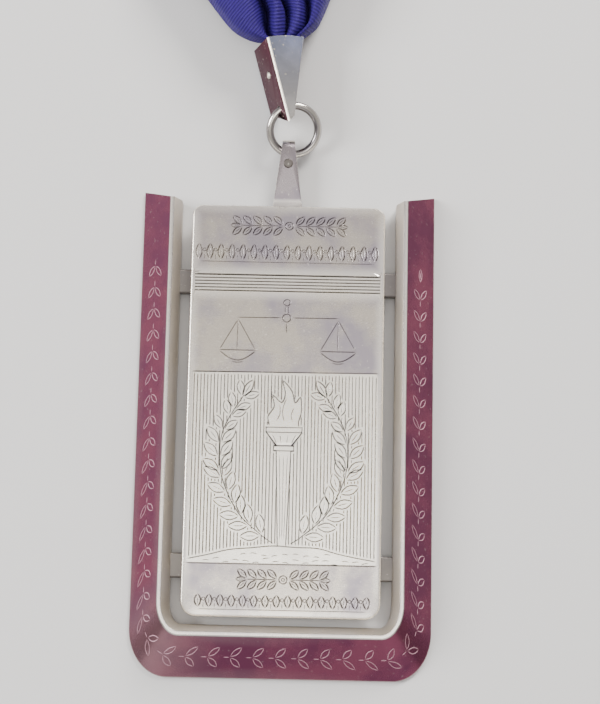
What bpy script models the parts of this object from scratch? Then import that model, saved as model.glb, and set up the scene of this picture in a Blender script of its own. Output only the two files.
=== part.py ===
"""A badge of office: a bevelled silver surround open at the top, an upright plate on two cross bars
inside it, a folded tongue, a jump ring and a wedge-shaped bail, on a neck ribbon.

It lies on its back. +X is to the badge's right, +Y runs up towards the ribbon and +Z out of its face.
The origin is on the flat back, in the middle of the surround's bottom bar. Lengths are in metres.
"""

import math

import bmesh
import bpy
from mathutils import Euler, Matrix, Vector

MM = 0.001

# Clearances between pieces
SEAT_GAP = 0.3 * MM
PIN_GAP = 0.15 * MM
RING_GAP = 0.25 * MM
TONGUE_RING_GAP = 0.5 * MM

# The surround, a U with a bevelled outer face
SURROUND_WIDTH = 55.0 * MM
SURROUND_LENGTH = 90.3 * MM
SURROUND_DEPTH = 6.0 * MM
SIDE_BEVEL = 5.5 * MM
FOOT_BEVEL = 7.75 * MM
EDGE_LIP = 0.4 * MM
CREST = 0.5 * MM
INNER_LEAN = 1.3 * MM
LEAN_FOOT = 3.0 * MM
ARM_END_DROP = 2.1 * MM
EDGE_CORNER = (7.0 * MM, 8.7 * MM)
CREST_CORNER = (4.0 * MM, 5.8 * MM)
CORNER_STEPS = 12

# The two cross bars that carry the plate, soldered into the surround
BAR_HEIGHT = 4.5 * MM
BAR_DEPTH = 1.5 * MM
BAR_LIFT = 1.0 * MM
BAR_LET_IN = 0.9 * MM
BAR_ROUNDING = 0.25 * MM

# The plate
PLATE_SIDE_GAP = 2.2 * MM
PLATE_FOOT_GAP = 1.45 * MM
PLATE_LENGTH = 76.15 * MM
PLATE_DEPTH = 1.8 * MM
PLATE_TOP_CORNER = 2.0 * MM
PLATE_FOOT_CORNER = 2.8 * MM
PLATE_CHAMFER = 0.45 * MM
PLATE_CHAMFER_DEPTH = 0.35 * MM
OUTLINE_STEPS = 7

# The ribbed band across the plate, sunk between two panels with rounded corners
BAND_TOP_DROP = 13.1 * MM
BAND_HEIGHT = 3.4 * MM
BAND_SINK = 0.3 * MM
BAND_RIBS = 5
RIB_SHARE = 0.66
RIB_RISE = 0.24 * MM
BAND_CUT_PAST = 1.0 * MM
PANEL_CORNER_STEPS = 5
UPPER_PANEL_CORNER = (1.1 * MM, 1.1 * MM)
LOWER_PANEL_CORNER = (1.5 * MM, 2.6 * MM)

# One rib's rounded profile: place across as a share of its half width, and its height as a share of its rise
RIB_PROFILE = (
    (1.00, 0.35),
    (0.60, 0.85),
    (0.00, 1.00),
    (-0.60, 0.85),
    (-1.00, 0.35),
)

# The bars' places on the plate
UPPER_BAR_DROP = 14.3 * MM
LOWER_BAR_RISE = 9.1 * MM

# The tongue, one strip folded over the ring and riveted
TONGUE_X = -0.4 * MM
TONGUE_SHEET = 0.8 * MM
TONGUE_FOOT_WIDTH = 5.5 * MM
TONGUE_TOP_WIDTH = 2.2 * MM
TONGUE_LAP = 3.0 * MM
TONGUE_RISE = 13.5 * MM
TONGUE_BACK_REACH = 5.6 * MM
RIVET_HEAD = 1.8 * MM
RIVET_SHANK = 1.0 * MM
RIVET_DOME = 0.3 * MM
RIVET_SHOULDER = (0.8, 0.7)
RIVET_RISE = 8.65 * MM
TONGUE_CLEAR = 0.45 * MM
BEND_STEPS = 8
BACK_LEAF_TURNS = (math.radians(-110), math.radians(-135), math.radians(-160))

# The jump ring
RING_WIRE = 1.25 * MM
RING_RADIUS = 4.65 * MM
RING_PITCH = math.radians(24)
RING_ROLL = math.radians(12)
RING_SHIFT = 0.55 * MM
RING_SAG = 0.75 * MM
RING_STEPS = 40
WIRE_SIDES = 10

# The bail, a hollow wedge that the ribbon's gathered ends are pinned into
BAIL_LENGTH = 16.3 * MM
BAIL_MOUTH = 7.4 * MM
BAIL_DEPTH = 7.5 * MM
BAIL_TIP = 1.06 * MM
BAIL_SHEET = 0.8 * MM
BAIL_SLANT = 3.3 * MM
BAIL_SOLID_TIP = 4.6 * MM
BAIL_ARCH = 0.35 * MM
BAIL_ARCH_SIDE = 0.26 * MM
BAIL_SKEW = 0.25 * MM
BAIL_POINT = 0.3 * MM
BAIL_POINT_CUT = 0.9 * MM
BAIL_TIP_X = 0.04 * MM
BAIL_TIP_RISE = 15.55 * MM
BAIL_LEAN = math.radians(5.0)
BAIL_TURN = math.radians(20.9)
PIN_DIAMETER = 1.2 * MM
PIN_DROP = 6.4 * MM
PIN_PROUD = 0.2 * MM
PIN_EASE = 0.15 * MM
PIN_STEPS = 16

# The ribbon, a whole loop folded flat over its two upper corners
RIBBON_WIDTH = 38.0 * MM
RIBBON_WALL = 1.0 * MM
RIBBON_LENGTH = 760.0 * MM
RIBBON_SPREAD = math.radians(23)
RIBBON_FOLD_GAP = 0.3 * MM
GATHER_LENGTH = 110.0 * MM
BAND_RAMP = 16.0 * MM
PLEAT_HEIGHT = 2.6 * MM
GATHER_CORE = 0.12
MOUTH_JOIN = 0.65 * MM
PLUG_FLOOR = 0.4
FOLD_STEPS = 6

# One row for each line of thread across a strand: its place in the bail's mouth as a share of the half
# mouth, outer side first, its height there as a share of half the plug, its place across the flat
# ribbon, and its rise in the pleats
THREADS = (
    # mouth, height, across, rise
    (1.00, 0.40, 0.00, -0.70),
    (0.97, 0.90, 0.09, 0.20),
    (0.86, 1.00, 0.20, 0.85),
    (0.70, 0.92, 0.33, 1.00),
    (0.58, 0.62, 0.45, 0.35),
    (0.50, 0.15, 0.55, -0.90),
    (0.40, 0.66, 0.65, 0.25),
    (0.26, 1.00, 0.76, 0.90),
    (0.10, 0.90, 0.88, 0.45),
    (0.00, 0.35, 1.00, -0.60),
)

# The valley between a strand's two lobes: its place across the flat ribbon and in an even mouth, and then its
# share of the left and of the right strand in the mouth, measured from where the strands meet
VALLEY_ACROSS = 0.55
VALLEY_EVEN = 0.50
MOUTH_VALLEYS = (0.50, 0.86)

# One row for each cross-section near the mouth, in shares of the gather's length: its place along it, how
# far the pleats are open, where the strands meet (to the right, and up), then each strand's outer edge
# (outwards, and up) and its valley's share
NEAR_ROWS = (
    # along, pleats, meeting point, left edge, left valley, right edge, right valley
    (0.012, 0.12, (0.0100, 0.0080), (0.0415, 0.0100), 0.46, (0.0430, 0.0140), 0.80),
    (0.030, 0.30, (0.0155, 0.0270), (0.0735, 0.0300), 0.38, (0.0655, 0.0330), 0.70),
    (0.055, 0.55, (0.0170, 0.0510), (0.0960, 0.0615), 0.29, (0.0780, 0.0545), 0.62),
    (0.085, 0.75, (0.0070, 0.0820), (0.1180, 0.0950), 0.24, (0.0930, 0.0810), 0.57),
    (0.120, 0.90, (-0.0020, 0.1180), (0.1430, 0.1300), 0.25, (0.1110, 0.1165), 0.54),
)

# The rest of the gather, up to the flat strand: place along it, and how far the pleats are open
FAR_ROWS = (
    # along, pleats
    (0.17, 1.00),
    (0.24, 0.95),
    (0.34, 0.72),
    (0.48, 0.42),
    (0.65, 0.18),
    (0.82, 0.05),
    (1.00, 0.00),
)

# The angles at which a strand's outer and inner edges leave the last row near the mouth
LEFT_FAN = (math.radians(33), math.radians(8))
RIGHT_FAN = (math.radians(30), math.radians(8))

# Sizes that follow
HALF_OUTER = SURROUND_WIDTH / 2
HALF_CREST = HALF_OUTER - SIDE_BEVEL
HALF_INNER = HALF_CREST - CREST - INNER_LEAN
FOOT_INNER = FOOT_BEVEL + CREST + INNER_LEAN
ORIGIN_UP = FOOT_INNER / 2
PLATE_BACK = BAR_LIFT + BAR_DEPTH + SEAT_GAP
PLATE_FACE = PLATE_BACK + PLATE_DEPTH
PLATE_HALF = HALF_INNER - PLATE_SIDE_GAP
PLATE_FOOT = FOOT_INNER + PLATE_FOOT_GAP - ORIGIN_UP
PLATE_TOP = PLATE_FOOT + PLATE_LENGTH
BAND_TOP = PLATE_TOP - BAND_TOP_DROP
BAND_FOOT = BAND_TOP - BAND_HEIGHT
BAR_PLACES = (PLATE_TOP - UPPER_BAR_DROP, PLATE_FOOT + LOWER_BAR_RISE)
LOOP_GAP = RING_WIRE + 2 * TONGUE_RING_GAP
LOOP_RADIUS = (LOOP_GAP + TONGUE_SHEET) / 2
WIRE_UP = TONGUE_SHEET + TONGUE_RING_GAP + RING_WIRE / 2
BAIL_TIP_Y = PLATE_TOP + BAIL_TIP_RISE
PIN_UP = BAIL_LENGTH - PIN_DROP
GATHER_ROOT = PIN_DROP - PIN_DIAMETER / 2 - SEAT_GAP
BAIL_TIP_Z = BAIL_DEPTH * math.cos(BAIL_TURN) + BAIL_MOUTH / 2 * math.sin(BAIL_TURN)


def material(name, colour, metallic, roughness):
    """A plain Principled surface."""
    made = bpy.data.materials.new(name)
    made.use_nodes = True
    shader = made.node_tree.nodes["Principled BSDF"]
    shader.inputs["Base Color"].default_value = (*colour, 1)
    shader.inputs["Metallic"].default_value = metallic
    shader.inputs["Roughness"].default_value = roughness
    made.diffuse_color = (*colour, 1)
    return made


def piece(name, points, faces, finish, helper=False):
    """A mesh object from points and faces, turned to face out. A helper only cuts or joins."""
    mesh = bpy.data.meshes.new(name)
    mesh.from_pydata([tuple(p) for p in points], [], faces)
    shape = bmesh.new()
    shape.from_mesh(mesh)
    bmesh.ops.recalc_face_normals(shape, faces=shape.faces)
    shape.to_mesh(mesh)
    shape.free()
    made = bpy.data.objects.new(name, mesh)
    bpy.context.scene.collection.objects.link(made)
    if helper:
        made.hide_render = True
        made.display_type = "WIRE"
    else:
        mesh.materials.append(finish)
    return made


def smooth(made, angle=30):
    """Rounded faces shade smooth, and edges sharper than the angle stay crisp."""
    made.data.shade_smooth()
    made.data.set_sharp_from_angle(angle=math.radians(angle))


def boolean(made, other, operation):
    """Cuts or joins the other object with an exact Boolean."""
    change = made.modifiers.new(other.name, "BOOLEAN")
    change.operation = operation
    change.object = other
    change.solver = "EXACT"


def skin(rows):
    """Points and faces of a closed solid through rows of points, capped at the first and last row."""
    count = len(rows[0])
    points = [p for row in rows for p in row]
    faces = []
    for r in range(len(rows) - 1):
        for k in range(count):
            a = r * count + k
            b = r * count + (k + 1) % count
            faces.append((a, b, b + count, a + count))
    faces.append(tuple(reversed(range(count))))
    faces.append(tuple(range((len(rows) - 1) * count, len(rows) * count)))
    return points, faces


def arc(centre, radii, start, end, steps):
    """Points on an elliptical arc in the XY plane, angles in degrees."""
    found = []
    for i in range(steps + 1):
        angle = math.radians(start + (end - start) * i / steps)
        found.append((centre[0] + radii[0] * math.cos(angle), centre[1] + radii[1] * math.sin(angle)))
    return found


def u_rail(half, foot, corner, top, height):
    """One edge line of the surround, from the left arm's end round the foot to the right arm's end."""
    left = arc((-half + corner[0], foot + corner[1]), corner, 180, 270, CORNER_STEPS)
    right = arc((half - corner[0], foot + corner[1]), corner, 270, 360, CORNER_STEPS)
    plan = [(-half, top), *left, *right, (half, top)]
    return [(x, y - ORIGIN_UP, height) for x, y in plan]


def corner_less(corner, step):
    """A corner's two radii, each smaller by the step."""
    return (corner[0] - step, corner[1] - step)


def build_surround(finish):
    """The U with its bevel, crest and leaning inner wall, and the two bars across it."""
    crest_top = SURROUND_LENGTH - ARM_END_DROP
    half_crest_in = HALF_CREST - CREST
    foot_crest_in = FOOT_BEVEL + CREST
    crest_in_corner = corner_less(CREST_CORNER, CREST)
    inner_corner = corner_less(crest_in_corner, INNER_LEAN)
    rails = [
        u_rail(HALF_OUTER, 0, EDGE_CORNER, SURROUND_LENGTH, 0),
        u_rail(HALF_OUTER, 0, EDGE_CORNER, SURROUND_LENGTH, EDGE_LIP),
        u_rail(HALF_CREST, FOOT_BEVEL, CREST_CORNER, crest_top, SURROUND_DEPTH),
        u_rail(half_crest_in, foot_crest_in, crest_in_corner, crest_top, SURROUND_DEPTH),
        u_rail(HALF_INNER, FOOT_INNER, inner_corner, crest_top, LEAN_FOOT),
        u_rail(HALF_INNER, FOOT_INNER, inner_corner, crest_top, 0),
    ]
    rows = [list(section) for section in zip(*rails)]
    surround = piece("surround", *skin(rows), finish)
    for number, place in enumerate(BAR_PLACES):
        boolean(surround, cross_bar(f"bar_{number}", place), "UNION")
    smooth(surround, 20)
    return surround


def cross_bar(name, place):
    """A flat bar across the surround, let into both inner walls, with its long edges eased."""
    reach = HALF_INNER + BAR_LET_IN
    half = BAR_HEIGHT / 2
    low = BAR_LIFT
    high = BAR_LIFT + BAR_DEPTH
    ease = BAR_ROUNDING
    section = [
        (-half, low),
        (half, low),
        (half, high - ease),
        (half - ease, high),
        (-half + ease, high),
        (-half, high - ease),
    ]
    rows = [[(x, place + y, z) for y, z in section] for x in (-reach, reach)]
    return piece(name, *skin(rows), None, helper=True)


def plate_outline(inset):
    """The plate's outline, anticlockwise from the left foot corner."""
    half = PLATE_HALF - inset
    low = PLATE_FOOT + inset
    high = PLATE_TOP - inset
    foot = PLATE_FOOT_CORNER - inset
    top = PLATE_TOP_CORNER - inset
    corners = (
        ((-half + foot, low + foot), foot, 180),
        ((half - foot, low + foot), foot, 270),
        ((half - top, high - top), top, 0),
        ((-half + top, high - top), top, 90),
    )
    found = []
    for centre, radius, start in corners:
        found += arc(centre, (radius, radius), start, start + 90, OUTLINE_STEPS)
    return found


def band_cutter():
    """The sunk band: its outline runs out round the panels' corners at both edges of the plate."""
    past = BAND_CUT_PAST
    steps = PANEL_CORNER_STEPS
    upper = UPPER_PANEL_CORNER
    lower = LOWER_PANEL_CORNER
    half = PLATE_HALF
    top_left = arc((-half + upper[0], BAND_TOP + upper[1]), upper, 180, 270, steps)
    foot_left = arc((-half + lower[0], BAND_FOOT - lower[1]), lower, 90, 180, steps)
    left = [(-half - past, BAND_TOP + upper[1]), *top_left]
    left_foot = [*foot_left, (-half - past, BAND_FOOT - lower[1])]
    right = [(-x, y) for x, y in reversed(left)]
    right_foot = [(-x, y) for x, y in reversed(left_foot)]
    outline = left + right + right_foot + left_foot
    rows = [[(x, y, z) for x, y in outline] for z in (PLATE_FACE - BAND_SINK, PLATE_FACE + past)]
    return piece("band_cutter", *skin(rows), None, helper=True)


def band_rib(number):
    """One rounded rib of the band, with its root sunk in the plate."""
    pitch = BAND_HEIGHT / BAND_RIBS
    middle = BAND_FOOT + pitch * (number + 0.5)
    half = pitch * RIB_SHARE / 2
    floor = PLATE_FACE - BAND_SINK
    root = floor - BAND_SINK
    section = [(-half, root), (half, root)]
    section += [(half * across, floor + RIB_RISE * up) for across, up in RIB_PROFILE]
    reach = PLATE_HALF - PLATE_CHAMFER
    rows = [[(x, middle + y, z) for y, z in section] for x in (-reach, reach)]
    return piece(f"band_rib_{number}", *skin(rows), None, helper=True)


def build_plate(finish):
    """The upright plate with a chamfered edge and the ribbed band."""
    levels = (
        (0, PLATE_BACK),
        (0, PLATE_FACE - PLATE_CHAMFER_DEPTH),
        (PLATE_CHAMFER, PLATE_FACE),
    )
    rows = [[(x, y, z) for x, y in plate_outline(inset)] for inset, z in levels]
    plate = piece("centre_plate", *skin(rows), finish)
    boolean(plate, band_cutter(), "DIFFERENCE")
    for number in range(BAND_RIBS):
        boolean(plate, band_rib(number), "UNION")
    smooth(plate, 20)
    return plate


def tongue_sizes():
    """The tongue's front leaf: where it starts, where it bends, and its slope."""
    foot = PLATE_TOP + TONGUE_CLEAR
    foot_up = PLATE_BACK - SEAT_GAP - TONGUE_SHEET / 2
    bend = PLATE_TOP + TONGUE_RISE - LOOP_RADIUS - TONGUE_SHEET / 2
    bend_up = TONGUE_SHEET / 2 + 2 * LOOP_RADIUS
    slope = (bend_up - foot_up) / (bend - foot)
    return foot, foot_up, bend, bend_up, slope


def build_tongue(finish):
    """The strip: a foot behind the plate, the front leaf, the bend over the ring and the back leaf."""
    foot, foot_up, bend, bend_up, slope = tongue_sizes()
    fold = PLATE_TOP + RIVET_RISE + RIVET_HEAD / 2
    leaf_step = TONGUE_SHEET + SEAT_GAP
    path = [(PLATE_TOP - TONGUE_LAP, foot_up), (foot, foot_up), (bend, bend_up)]
    bend_centre = bend_up - LOOP_RADIUS
    for step in range(1, BEND_STEPS + 1):
        angle = math.pi / 2 - math.pi * step / BEND_STEPS
        path.append((bend + LOOP_RADIUS * math.cos(angle), bend_centre + LOOP_RADIUS * math.sin(angle)))
    front_at_fold = foot_up + slope * (fold - foot)
    joined = front_at_fold - leaf_step
    round_wire = (RING_WIRE + TONGUE_SHEET) / 2 + TONGUE_RING_GAP
    for turn in BACK_LEAF_TURNS:
        path.append((bend - RING_SAG + round_wire * math.cos(turn), WIRE_UP + round_wire * math.sin(turn)))
    path.append((fold, joined))
    back_end = bend - TONGUE_BACK_REACH
    path.append((back_end, joined - slope * (fold - back_end)))
    rows = []
    for i, here in enumerate(path):
        before = Vector(path[max(i - 1, 0)])
        after = Vector(path[min(i + 1, len(path) - 1)])
        into = (Vector(here) - before).normalized() if i else (after - before).normalized()
        out = (after - Vector(here)).normalized() if i < len(path) - 1 else into
        normal = Vector((-(into.y + out.y), into.x + out.x)).normalized()
        reach = TONGUE_SHEET / 2 / normal.dot(Vector((-into.y, into.x)))
        share = (here[0] - foot) / (bend + LOOP_RADIUS - foot)
        half = (TONGUE_FOOT_WIDTH + (TONGUE_TOP_WIDTH - TONGUE_FOOT_WIDTH) * max(share, 0)) / 2
        upper = Vector(here) + normal * reach
        lower = Vector(here) - normal * reach
        rows.append(
            [
                (TONGUE_X - half, *lower),
                (TONGUE_X + half, *lower),
                (TONGUE_X + half, *upper),
                (TONGUE_X - half, *upper),
            ]
        )
    tongue = piece("hanger_tongue", *skin(rows), finish)
    boolean(tongue, rivet_solid("rivet_hole", RIVET_SHANK / 2 + PIN_GAP, 0, None), "DIFFERENCE")
    smooth(tongue, 35)
    return tongue


def turned(profile, steps):
    """A closed solid of revolution about Z from a profile of (radius, height) that ends on the axis."""
    points = [(0, 0, profile[0][1])]
    faces = []
    inner = profile[1:-1]
    for radius, height in inner:
        for k in range(steps):
            angle = 2 * math.pi * k / steps
            points.append((radius * math.cos(angle), radius * math.sin(angle), height))
    points.append((0, 0, profile[-1][1]))
    last = len(points) - 1
    for k in range(steps):
        nxt = (k + 1) % steps
        faces.append((0, 1 + nxt, 1 + k))
        for r in range(len(inner) - 1):
            a = 1 + r * steps
            faces.append((a + k, a + nxt, a + steps + nxt, a + steps + k))
        end = 1 + (len(inner) - 1) * steps
        faces.append((end + k, end + nxt, last))
    return points, faces


def rivet_solid(name, radius, head, finish):
    """The rivet, or with no head the hole for it, square to the front leaf."""
    foot, foot_up, _, _, slope = tongue_sizes()
    place = PLATE_TOP + RIVET_RISE
    top = TONGUE_SHEET / 2
    bottom = -top - SEAT_GAP - TONGUE_SHEET
    if head:
        profile = [
            (0, bottom),
            (radius, bottom),
            (radius, top + PIN_GAP),
            (head, top + PIN_GAP),
            (head * RIVET_SHOULDER[0], top + PIN_GAP + RIVET_DOME * RIVET_SHOULDER[1]),
            (0, top + PIN_GAP + RIVET_DOME),
        ]
    else:
        past = TONGUE_SHEET
        profile = [(0, bottom - past), (radius, bottom - past), (radius, top + past), (0, top + past)]
    made = piece(name, *turned(profile, PIN_STEPS), finish, helper=not head)
    made.location = (TONGUE_X, place, foot_up + slope * (place - foot))
    made.rotation_euler = (math.atan(slope), 0, 0)
    return made


def build_rivet(finish):
    """The rivet that closes the folded strip."""
    rivet = rivet_solid("tongue_rivet", RIVET_SHANK / 2, RIVET_HEAD / 2, finish)
    smooth(rivet, 40)
    return rivet


def ring_solid(name, wire, finish, helper=False):
    """The ring, or a fatter copy of it that cuts its way through the bail."""
    points = []
    faces = []
    for i in range(RING_STEPS):
        around = 2 * math.pi * i / RING_STEPS
        for k in range(WIRE_SIDES):
            side = 2 * math.pi * k / WIRE_SIDES
            reach = RING_RADIUS + wire * math.cos(side)
            points.append((reach * math.cos(around), reach * math.sin(around), wire * math.sin(side)))
            a = i * WIRE_SIDES + k
            b = i * WIRE_SIDES + (k + 1) % WIRE_SIDES
            step = ((i + 1) % RING_STEPS) * WIRE_SIDES - i * WIRE_SIDES
            faces.append((a, b, b + step, a + step))
    made = piece(name, points, faces, finish, helper)
    turn = Euler((RING_PITCH, RING_ROLL, 0))
    _, _, bend, _, _ = tongue_sizes()
    held = Vector((TONGUE_X + RING_SHIFT, bend - RING_SAG, WIRE_UP - RING_SHIFT * math.tan(RING_ROLL)))
    made.location = held + turn.to_matrix() @ Vector((0, RING_RADIUS, 0))
    made.rotation_euler = turn
    return made


def build_ring(finish):
    """The jump ring, lying with its lower side in the tongue's fold."""
    ring = ring_solid("jump_ring", RING_WIRE / 2, finish)
    smooth(ring, 60)
    return ring


def place_on_bail(made):
    """Puts an object made in the bail's own frame in its place: X right, Y up its length, Z out."""
    made.location = (BAIL_TIP_X, BAIL_TIP_Y, BAIL_TIP_Z)
    made.rotation_euler = (0, BAIL_TURN, BAIL_LEAN)
    return made


def bail_half(up):
    """Half the bail's outer width at a height up its length."""
    return (BAIL_TIP + (BAIL_MOUTH - BAIL_TIP) * up / BAIL_LENGTH) / 2


def build_bail(finish):
    """The wedge: four plates that run together at the tip, open at the mouth."""
    long = BAIL_LENGTH
    rows = []
    for depth, point, low in ((0, -BAIL_POINT, BAIL_POINT_CUT), (-BAIL_DEPTH, BAIL_SLANT, BAIL_SLANT)):
        rows.append(
            [
                (-bail_half(point), point, depth),
                (bail_half(low), low, depth),
                (bail_half(long), long + BAIL_SKEW, depth),
                (bail_half(long) / 2, long + BAIL_SKEW / 2 + BAIL_ARCH_SIDE, depth),
                (0, long + BAIL_ARCH, depth),
                (-bail_half(long) / 2, long - BAIL_SKEW / 2 + BAIL_ARCH_SIDE, depth),
                (-bail_half(long), long - BAIL_SKEW, depth),
            ]
        )
    bail = place_on_bail(piece("bail", *skin(rows), finish))
    past = long + BAIL_SHEET * 2
    floor = BAIL_SOLID_TIP
    hollow = []
    for depth in (-BAIL_SHEET, BAIL_SHEET - BAIL_DEPTH):
        hollow.append(
            [
                (-bail_half(floor) + BAIL_SHEET, floor, depth),
                (bail_half(floor) - BAIL_SHEET, floor, depth),
                (bail_half(past) - BAIL_SHEET, past, depth),
                (-bail_half(past) + BAIL_SHEET, past, depth),
            ]
        )
    boolean(bail, place_on_bail(piece("bail_hollow", *skin(hollow), None, helper=True)), "DIFFERENCE")
    boolean(bail, ring_solid("ring_way", RING_WIRE / 2 + RING_GAP, None, helper=True), "DIFFERENCE")
    boolean(bail, pin_solid("pin_hole", PIN_DIAMETER / 2 + PIN_GAP, BAIL_MOUTH, None, True), "DIFFERENCE")
    smooth(bail, 20)
    return bail


def pin_solid(name, radius, reach, finish, helper=False):
    """The cross pin, or the hole for it, from side to side of the bail."""
    profile = [
        (0, -reach),
        (radius - PIN_EASE, -reach),
        (radius, -reach + PIN_EASE),
        (radius, reach - PIN_EASE),
        (radius - PIN_EASE, reach),
        (0, reach),
    ]
    points, faces = turned(profile, PIN_STEPS)
    across = [(z, PIN_UP + y, -BAIL_DEPTH / 2 + x) for x, y, z in points]
    return place_on_bail(piece(name, across, faces, finish, helper))


def build_pin(finish):
    """The pin across the bail, a little proud of both side plates."""
    pin = pin_solid("bail_pin", PIN_DIAMETER / 2, bail_half(PIN_UP) + PIN_PROUD, finish)
    smooth(pin, 40)
    return pin


def bail_matrix():
    """From the bail's own frame to the object's."""
    turn = Euler((0, BAIL_TURN, BAIL_LEAN)).to_matrix().to_4x4()
    return Matrix.Translation((BAIL_TIP_X, BAIL_TIP_Y, BAIL_TIP_Z)) @ turn


def eased(share):
    """0 to 1 with a soft start and end."""
    share = min(max(share, 0), 1)
    return share * share * (3 - 2 * share)


def between(ends, share):
    """A value a share of the way from the first of two to the second."""
    return ends[0] + (ends[1] - ends[0]) * share


def with_valley(share, even, valley):
    """A thread's share of its strand, once the valley has moved from its even share to another."""
    if share < even:
        return share * valley / even
    return 1 - (1 - share) * (1 - valley) / (1 - even)


def hermite(start, start_way, end, end_way, share):
    """A point on the smooth curve between two points with given ways out and in."""
    s = share
    return (
        start * (2 * s**3 - 3 * s**2 + 1)
        + start_way * (s**3 - 2 * s**2 + s)
        + end * (3 * s**2 - 2 * s**3)
        + end_way * (s**3 - s**2)
    )


class Loop:
    """The ribbon's plan: strands at the spread angle on both sides of the bail's own axis."""

    def __init__(self):
        out = bail_matrix()
        middle = Vector((0, BAIL_LENGTH, -BAIL_DEPTH / 2))
        self.bail = out
        self.mouth = out @ middle
        self.turn = Matrix.Rotation(BAIL_LEAN, 3, "Z")
        self.half_mouth = BAIL_MOUTH / 2 - BAIL_SHEET - SEAT_GAP
        self.half_plug = BAIL_DEPTH / 2 - BAIL_SHEET - SEAT_GAP
        self.slit = SEAT_GAP / 2
        self.start = self.slit + self.half_mouth / 2
        lean = math.sin(RIBBON_SPREAD)
        self.cut = math.pi / 4 + RIBBON_SPREAD / 2
        straight = (RIBBON_LENGTH / 2 - self.start) / (1 + lean)
        self.strand = straight - GATHER_LENGTH

    def world(self, side, across, along, height):
        """A point given by its distance from the loop's axis, along it from the mouth, and its height."""
        flat = self.turn @ Vector((side * across, along, 0))
        return Vector((self.mouth.x + flat.x, self.mouth.y + flat.y, height))

    def root(self, side, thread, up, top):
        """A point of the plug in the bail, at a height up the bail."""
        mouth, height, _, _ = thread
        half = bail_half(up) - BAIL_SHEET - SEAT_GAP
        inner = MOUTH_JOIN * half / self.half_mouth + side * self.slit
        place = with_valley(mouth, VALLEY_EVEN, MOUTH_VALLEYS[side > 0])
        depth = -BAIL_DEPTH / 2 + self.half_plug * (height if top else -PLUG_FLOOR)
        return self.bail @ Vector((inner + (side * half - inner) * place, up, depth))

    def strand_plan(self, across, along):
        """Place in the loop's plan of a point of a flat strand, before the fold."""
        shift = (0.5 - across) * RIBBON_WIDTH
        x = self.start + along * math.sin(RIBBON_SPREAD) + shift * math.cos(RIBBON_SPREAD)
        y = along * math.cos(RIBBON_SPREAD) - shift * math.sin(RIBBON_SPREAD)
        return x, y


def gather_plan(loop, side):
    """The gather's cross-sections in plan: place along it, pleats, inner end, outer end, valley's share."""
    for along, pleats, (join_x, join_y), *strands in NEAR_ROWS:
        (edge_x, edge_y), valley = strands[:2] if side < 0 else strands[2:]
        inner = Vector((side * join_x * GATHER_LENGTH + loop.slit, join_y * GATHER_LENGTH))
        outer = Vector((edge_x, edge_y)) * GATHER_LENGTH
        yield along, pleats, inner, outer, valley
    fan = LEFT_FAN if side < 0 else RIGHT_FAN
    last = along
    reach = GATHER_LENGTH * (1 - last)
    end_way = Vector((math.sin(RIBBON_SPREAD), math.cos(RIBBON_SPREAD))) * reach
    outer_way, inner_way = (Vector((math.sin(angle), math.cos(angle))) * reach for angle in fan)
    outer_end, inner_end = (Vector(loop.strand_plan(across, GATHER_LENGTH)) for across in (0, 1))
    for along, pleats in FAR_ROWS:
        share = (along - last) / (1 - last)
        found = (
            hermite(inner, inner_way, inner_end, end_way, share),
            hermite(outer, outer_way, outer_end, end_way, share),
            between((valley, 1 - VALLEY_ACROSS), eased(share)),
        )
        yield along, pleats, *found


def gather_rows(loop, side):
    """Sections from inside the bail to the flat strand, each with its top and its underside."""
    rows = []
    for up in (BAIL_LENGTH - GATHER_ROOT, BAIL_LENGTH - GATHER_ROOT / 2, BAIL_LENGTH):
        rows.append([[loop.root(side, thread, up, top) for thread in THREADS] for top in (True, False)])
    for along, pleats, inner, outer, valley in gather_plan(loop, side):
        tops = []
        lows = []
        gathered = 1 - eased(along / GATHER_CORE)
        even = between((VALLEY_EVEN, 1 - VALLEY_ACROSS), along)
        for thread in THREADS:
            mouth, _, across, rise = thread
            start = loop.root(side, thread, BAIL_LENGTH, True)
            core = loop.root(side, thread, BAIL_LENGTH, False) - start
            place = with_valley(between((mouth, 1 - across), along), even, valley)
            level = between((start.z, RIBBON_WALL), eased(along)) + PLEAT_HEIGHT * pleats * rise
            top = loop.world(side, *inner.lerp(outer, place), max(level, RIBBON_WALL))
            low = top + core * gathered + Vector((0, 0, -RIBBON_WALL)) * (1 - gathered)
            low.z = max(low.z, 0)
            tops.append(top)
            lows.append(low)
        rows.append((tops, lows))
    return rows


def folded_row(loop, side, past):
    """A section parallel to the crease, a distance past it along the bent cloth, or before it if negative."""
    radius = (RIBBON_WALL + RIBBON_FOLD_GAP) / 2
    middle = RIBBON_WALL / 2 + radius
    angle = min(max(past / radius, 0), math.pi)
    flat = past if past < 0 else min(math.pi * radius - past, 0)
    out = Vector((math.sin(loop.cut), math.cos(loop.cut)))
    crease = Vector((-out.y, out.x))
    tops = []
    lows = []
    for _, _, across, _ in THREADS:
        shift = (0.5 - across) * RIBBON_WIDTH
        at_crease = GATHER_LENGTH + loop.strand - shift / math.tan(loop.cut)
        start = Vector(loop.strand_plan(across, at_crease)) + crease * (past / math.tan(loop.cut))
        for found, wall in ((tops, -RIBBON_WALL / 2), (lows, RIBBON_WALL / 2)):
            bend = radius + wall
            place = start + out * (flat + bend * math.sin(angle))
            found.append(loop.world(side, place.x, place.y, middle - bend * math.cos(angle)))
    return tops, lows


def fold_rows(loop, side):
    """The sections that carry the ribbon up and over its slanting crease."""
    radius = (RIBBON_WALL + RIBBON_FOLD_GAP) / 2
    bend = math.pi * radius
    places = [-radius, *(bend * i / FOLD_STEPS for i in range(FOLD_STEPS + 1)), bend + radius]
    return [folded_row(loop, side, past) for past in places]


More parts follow.
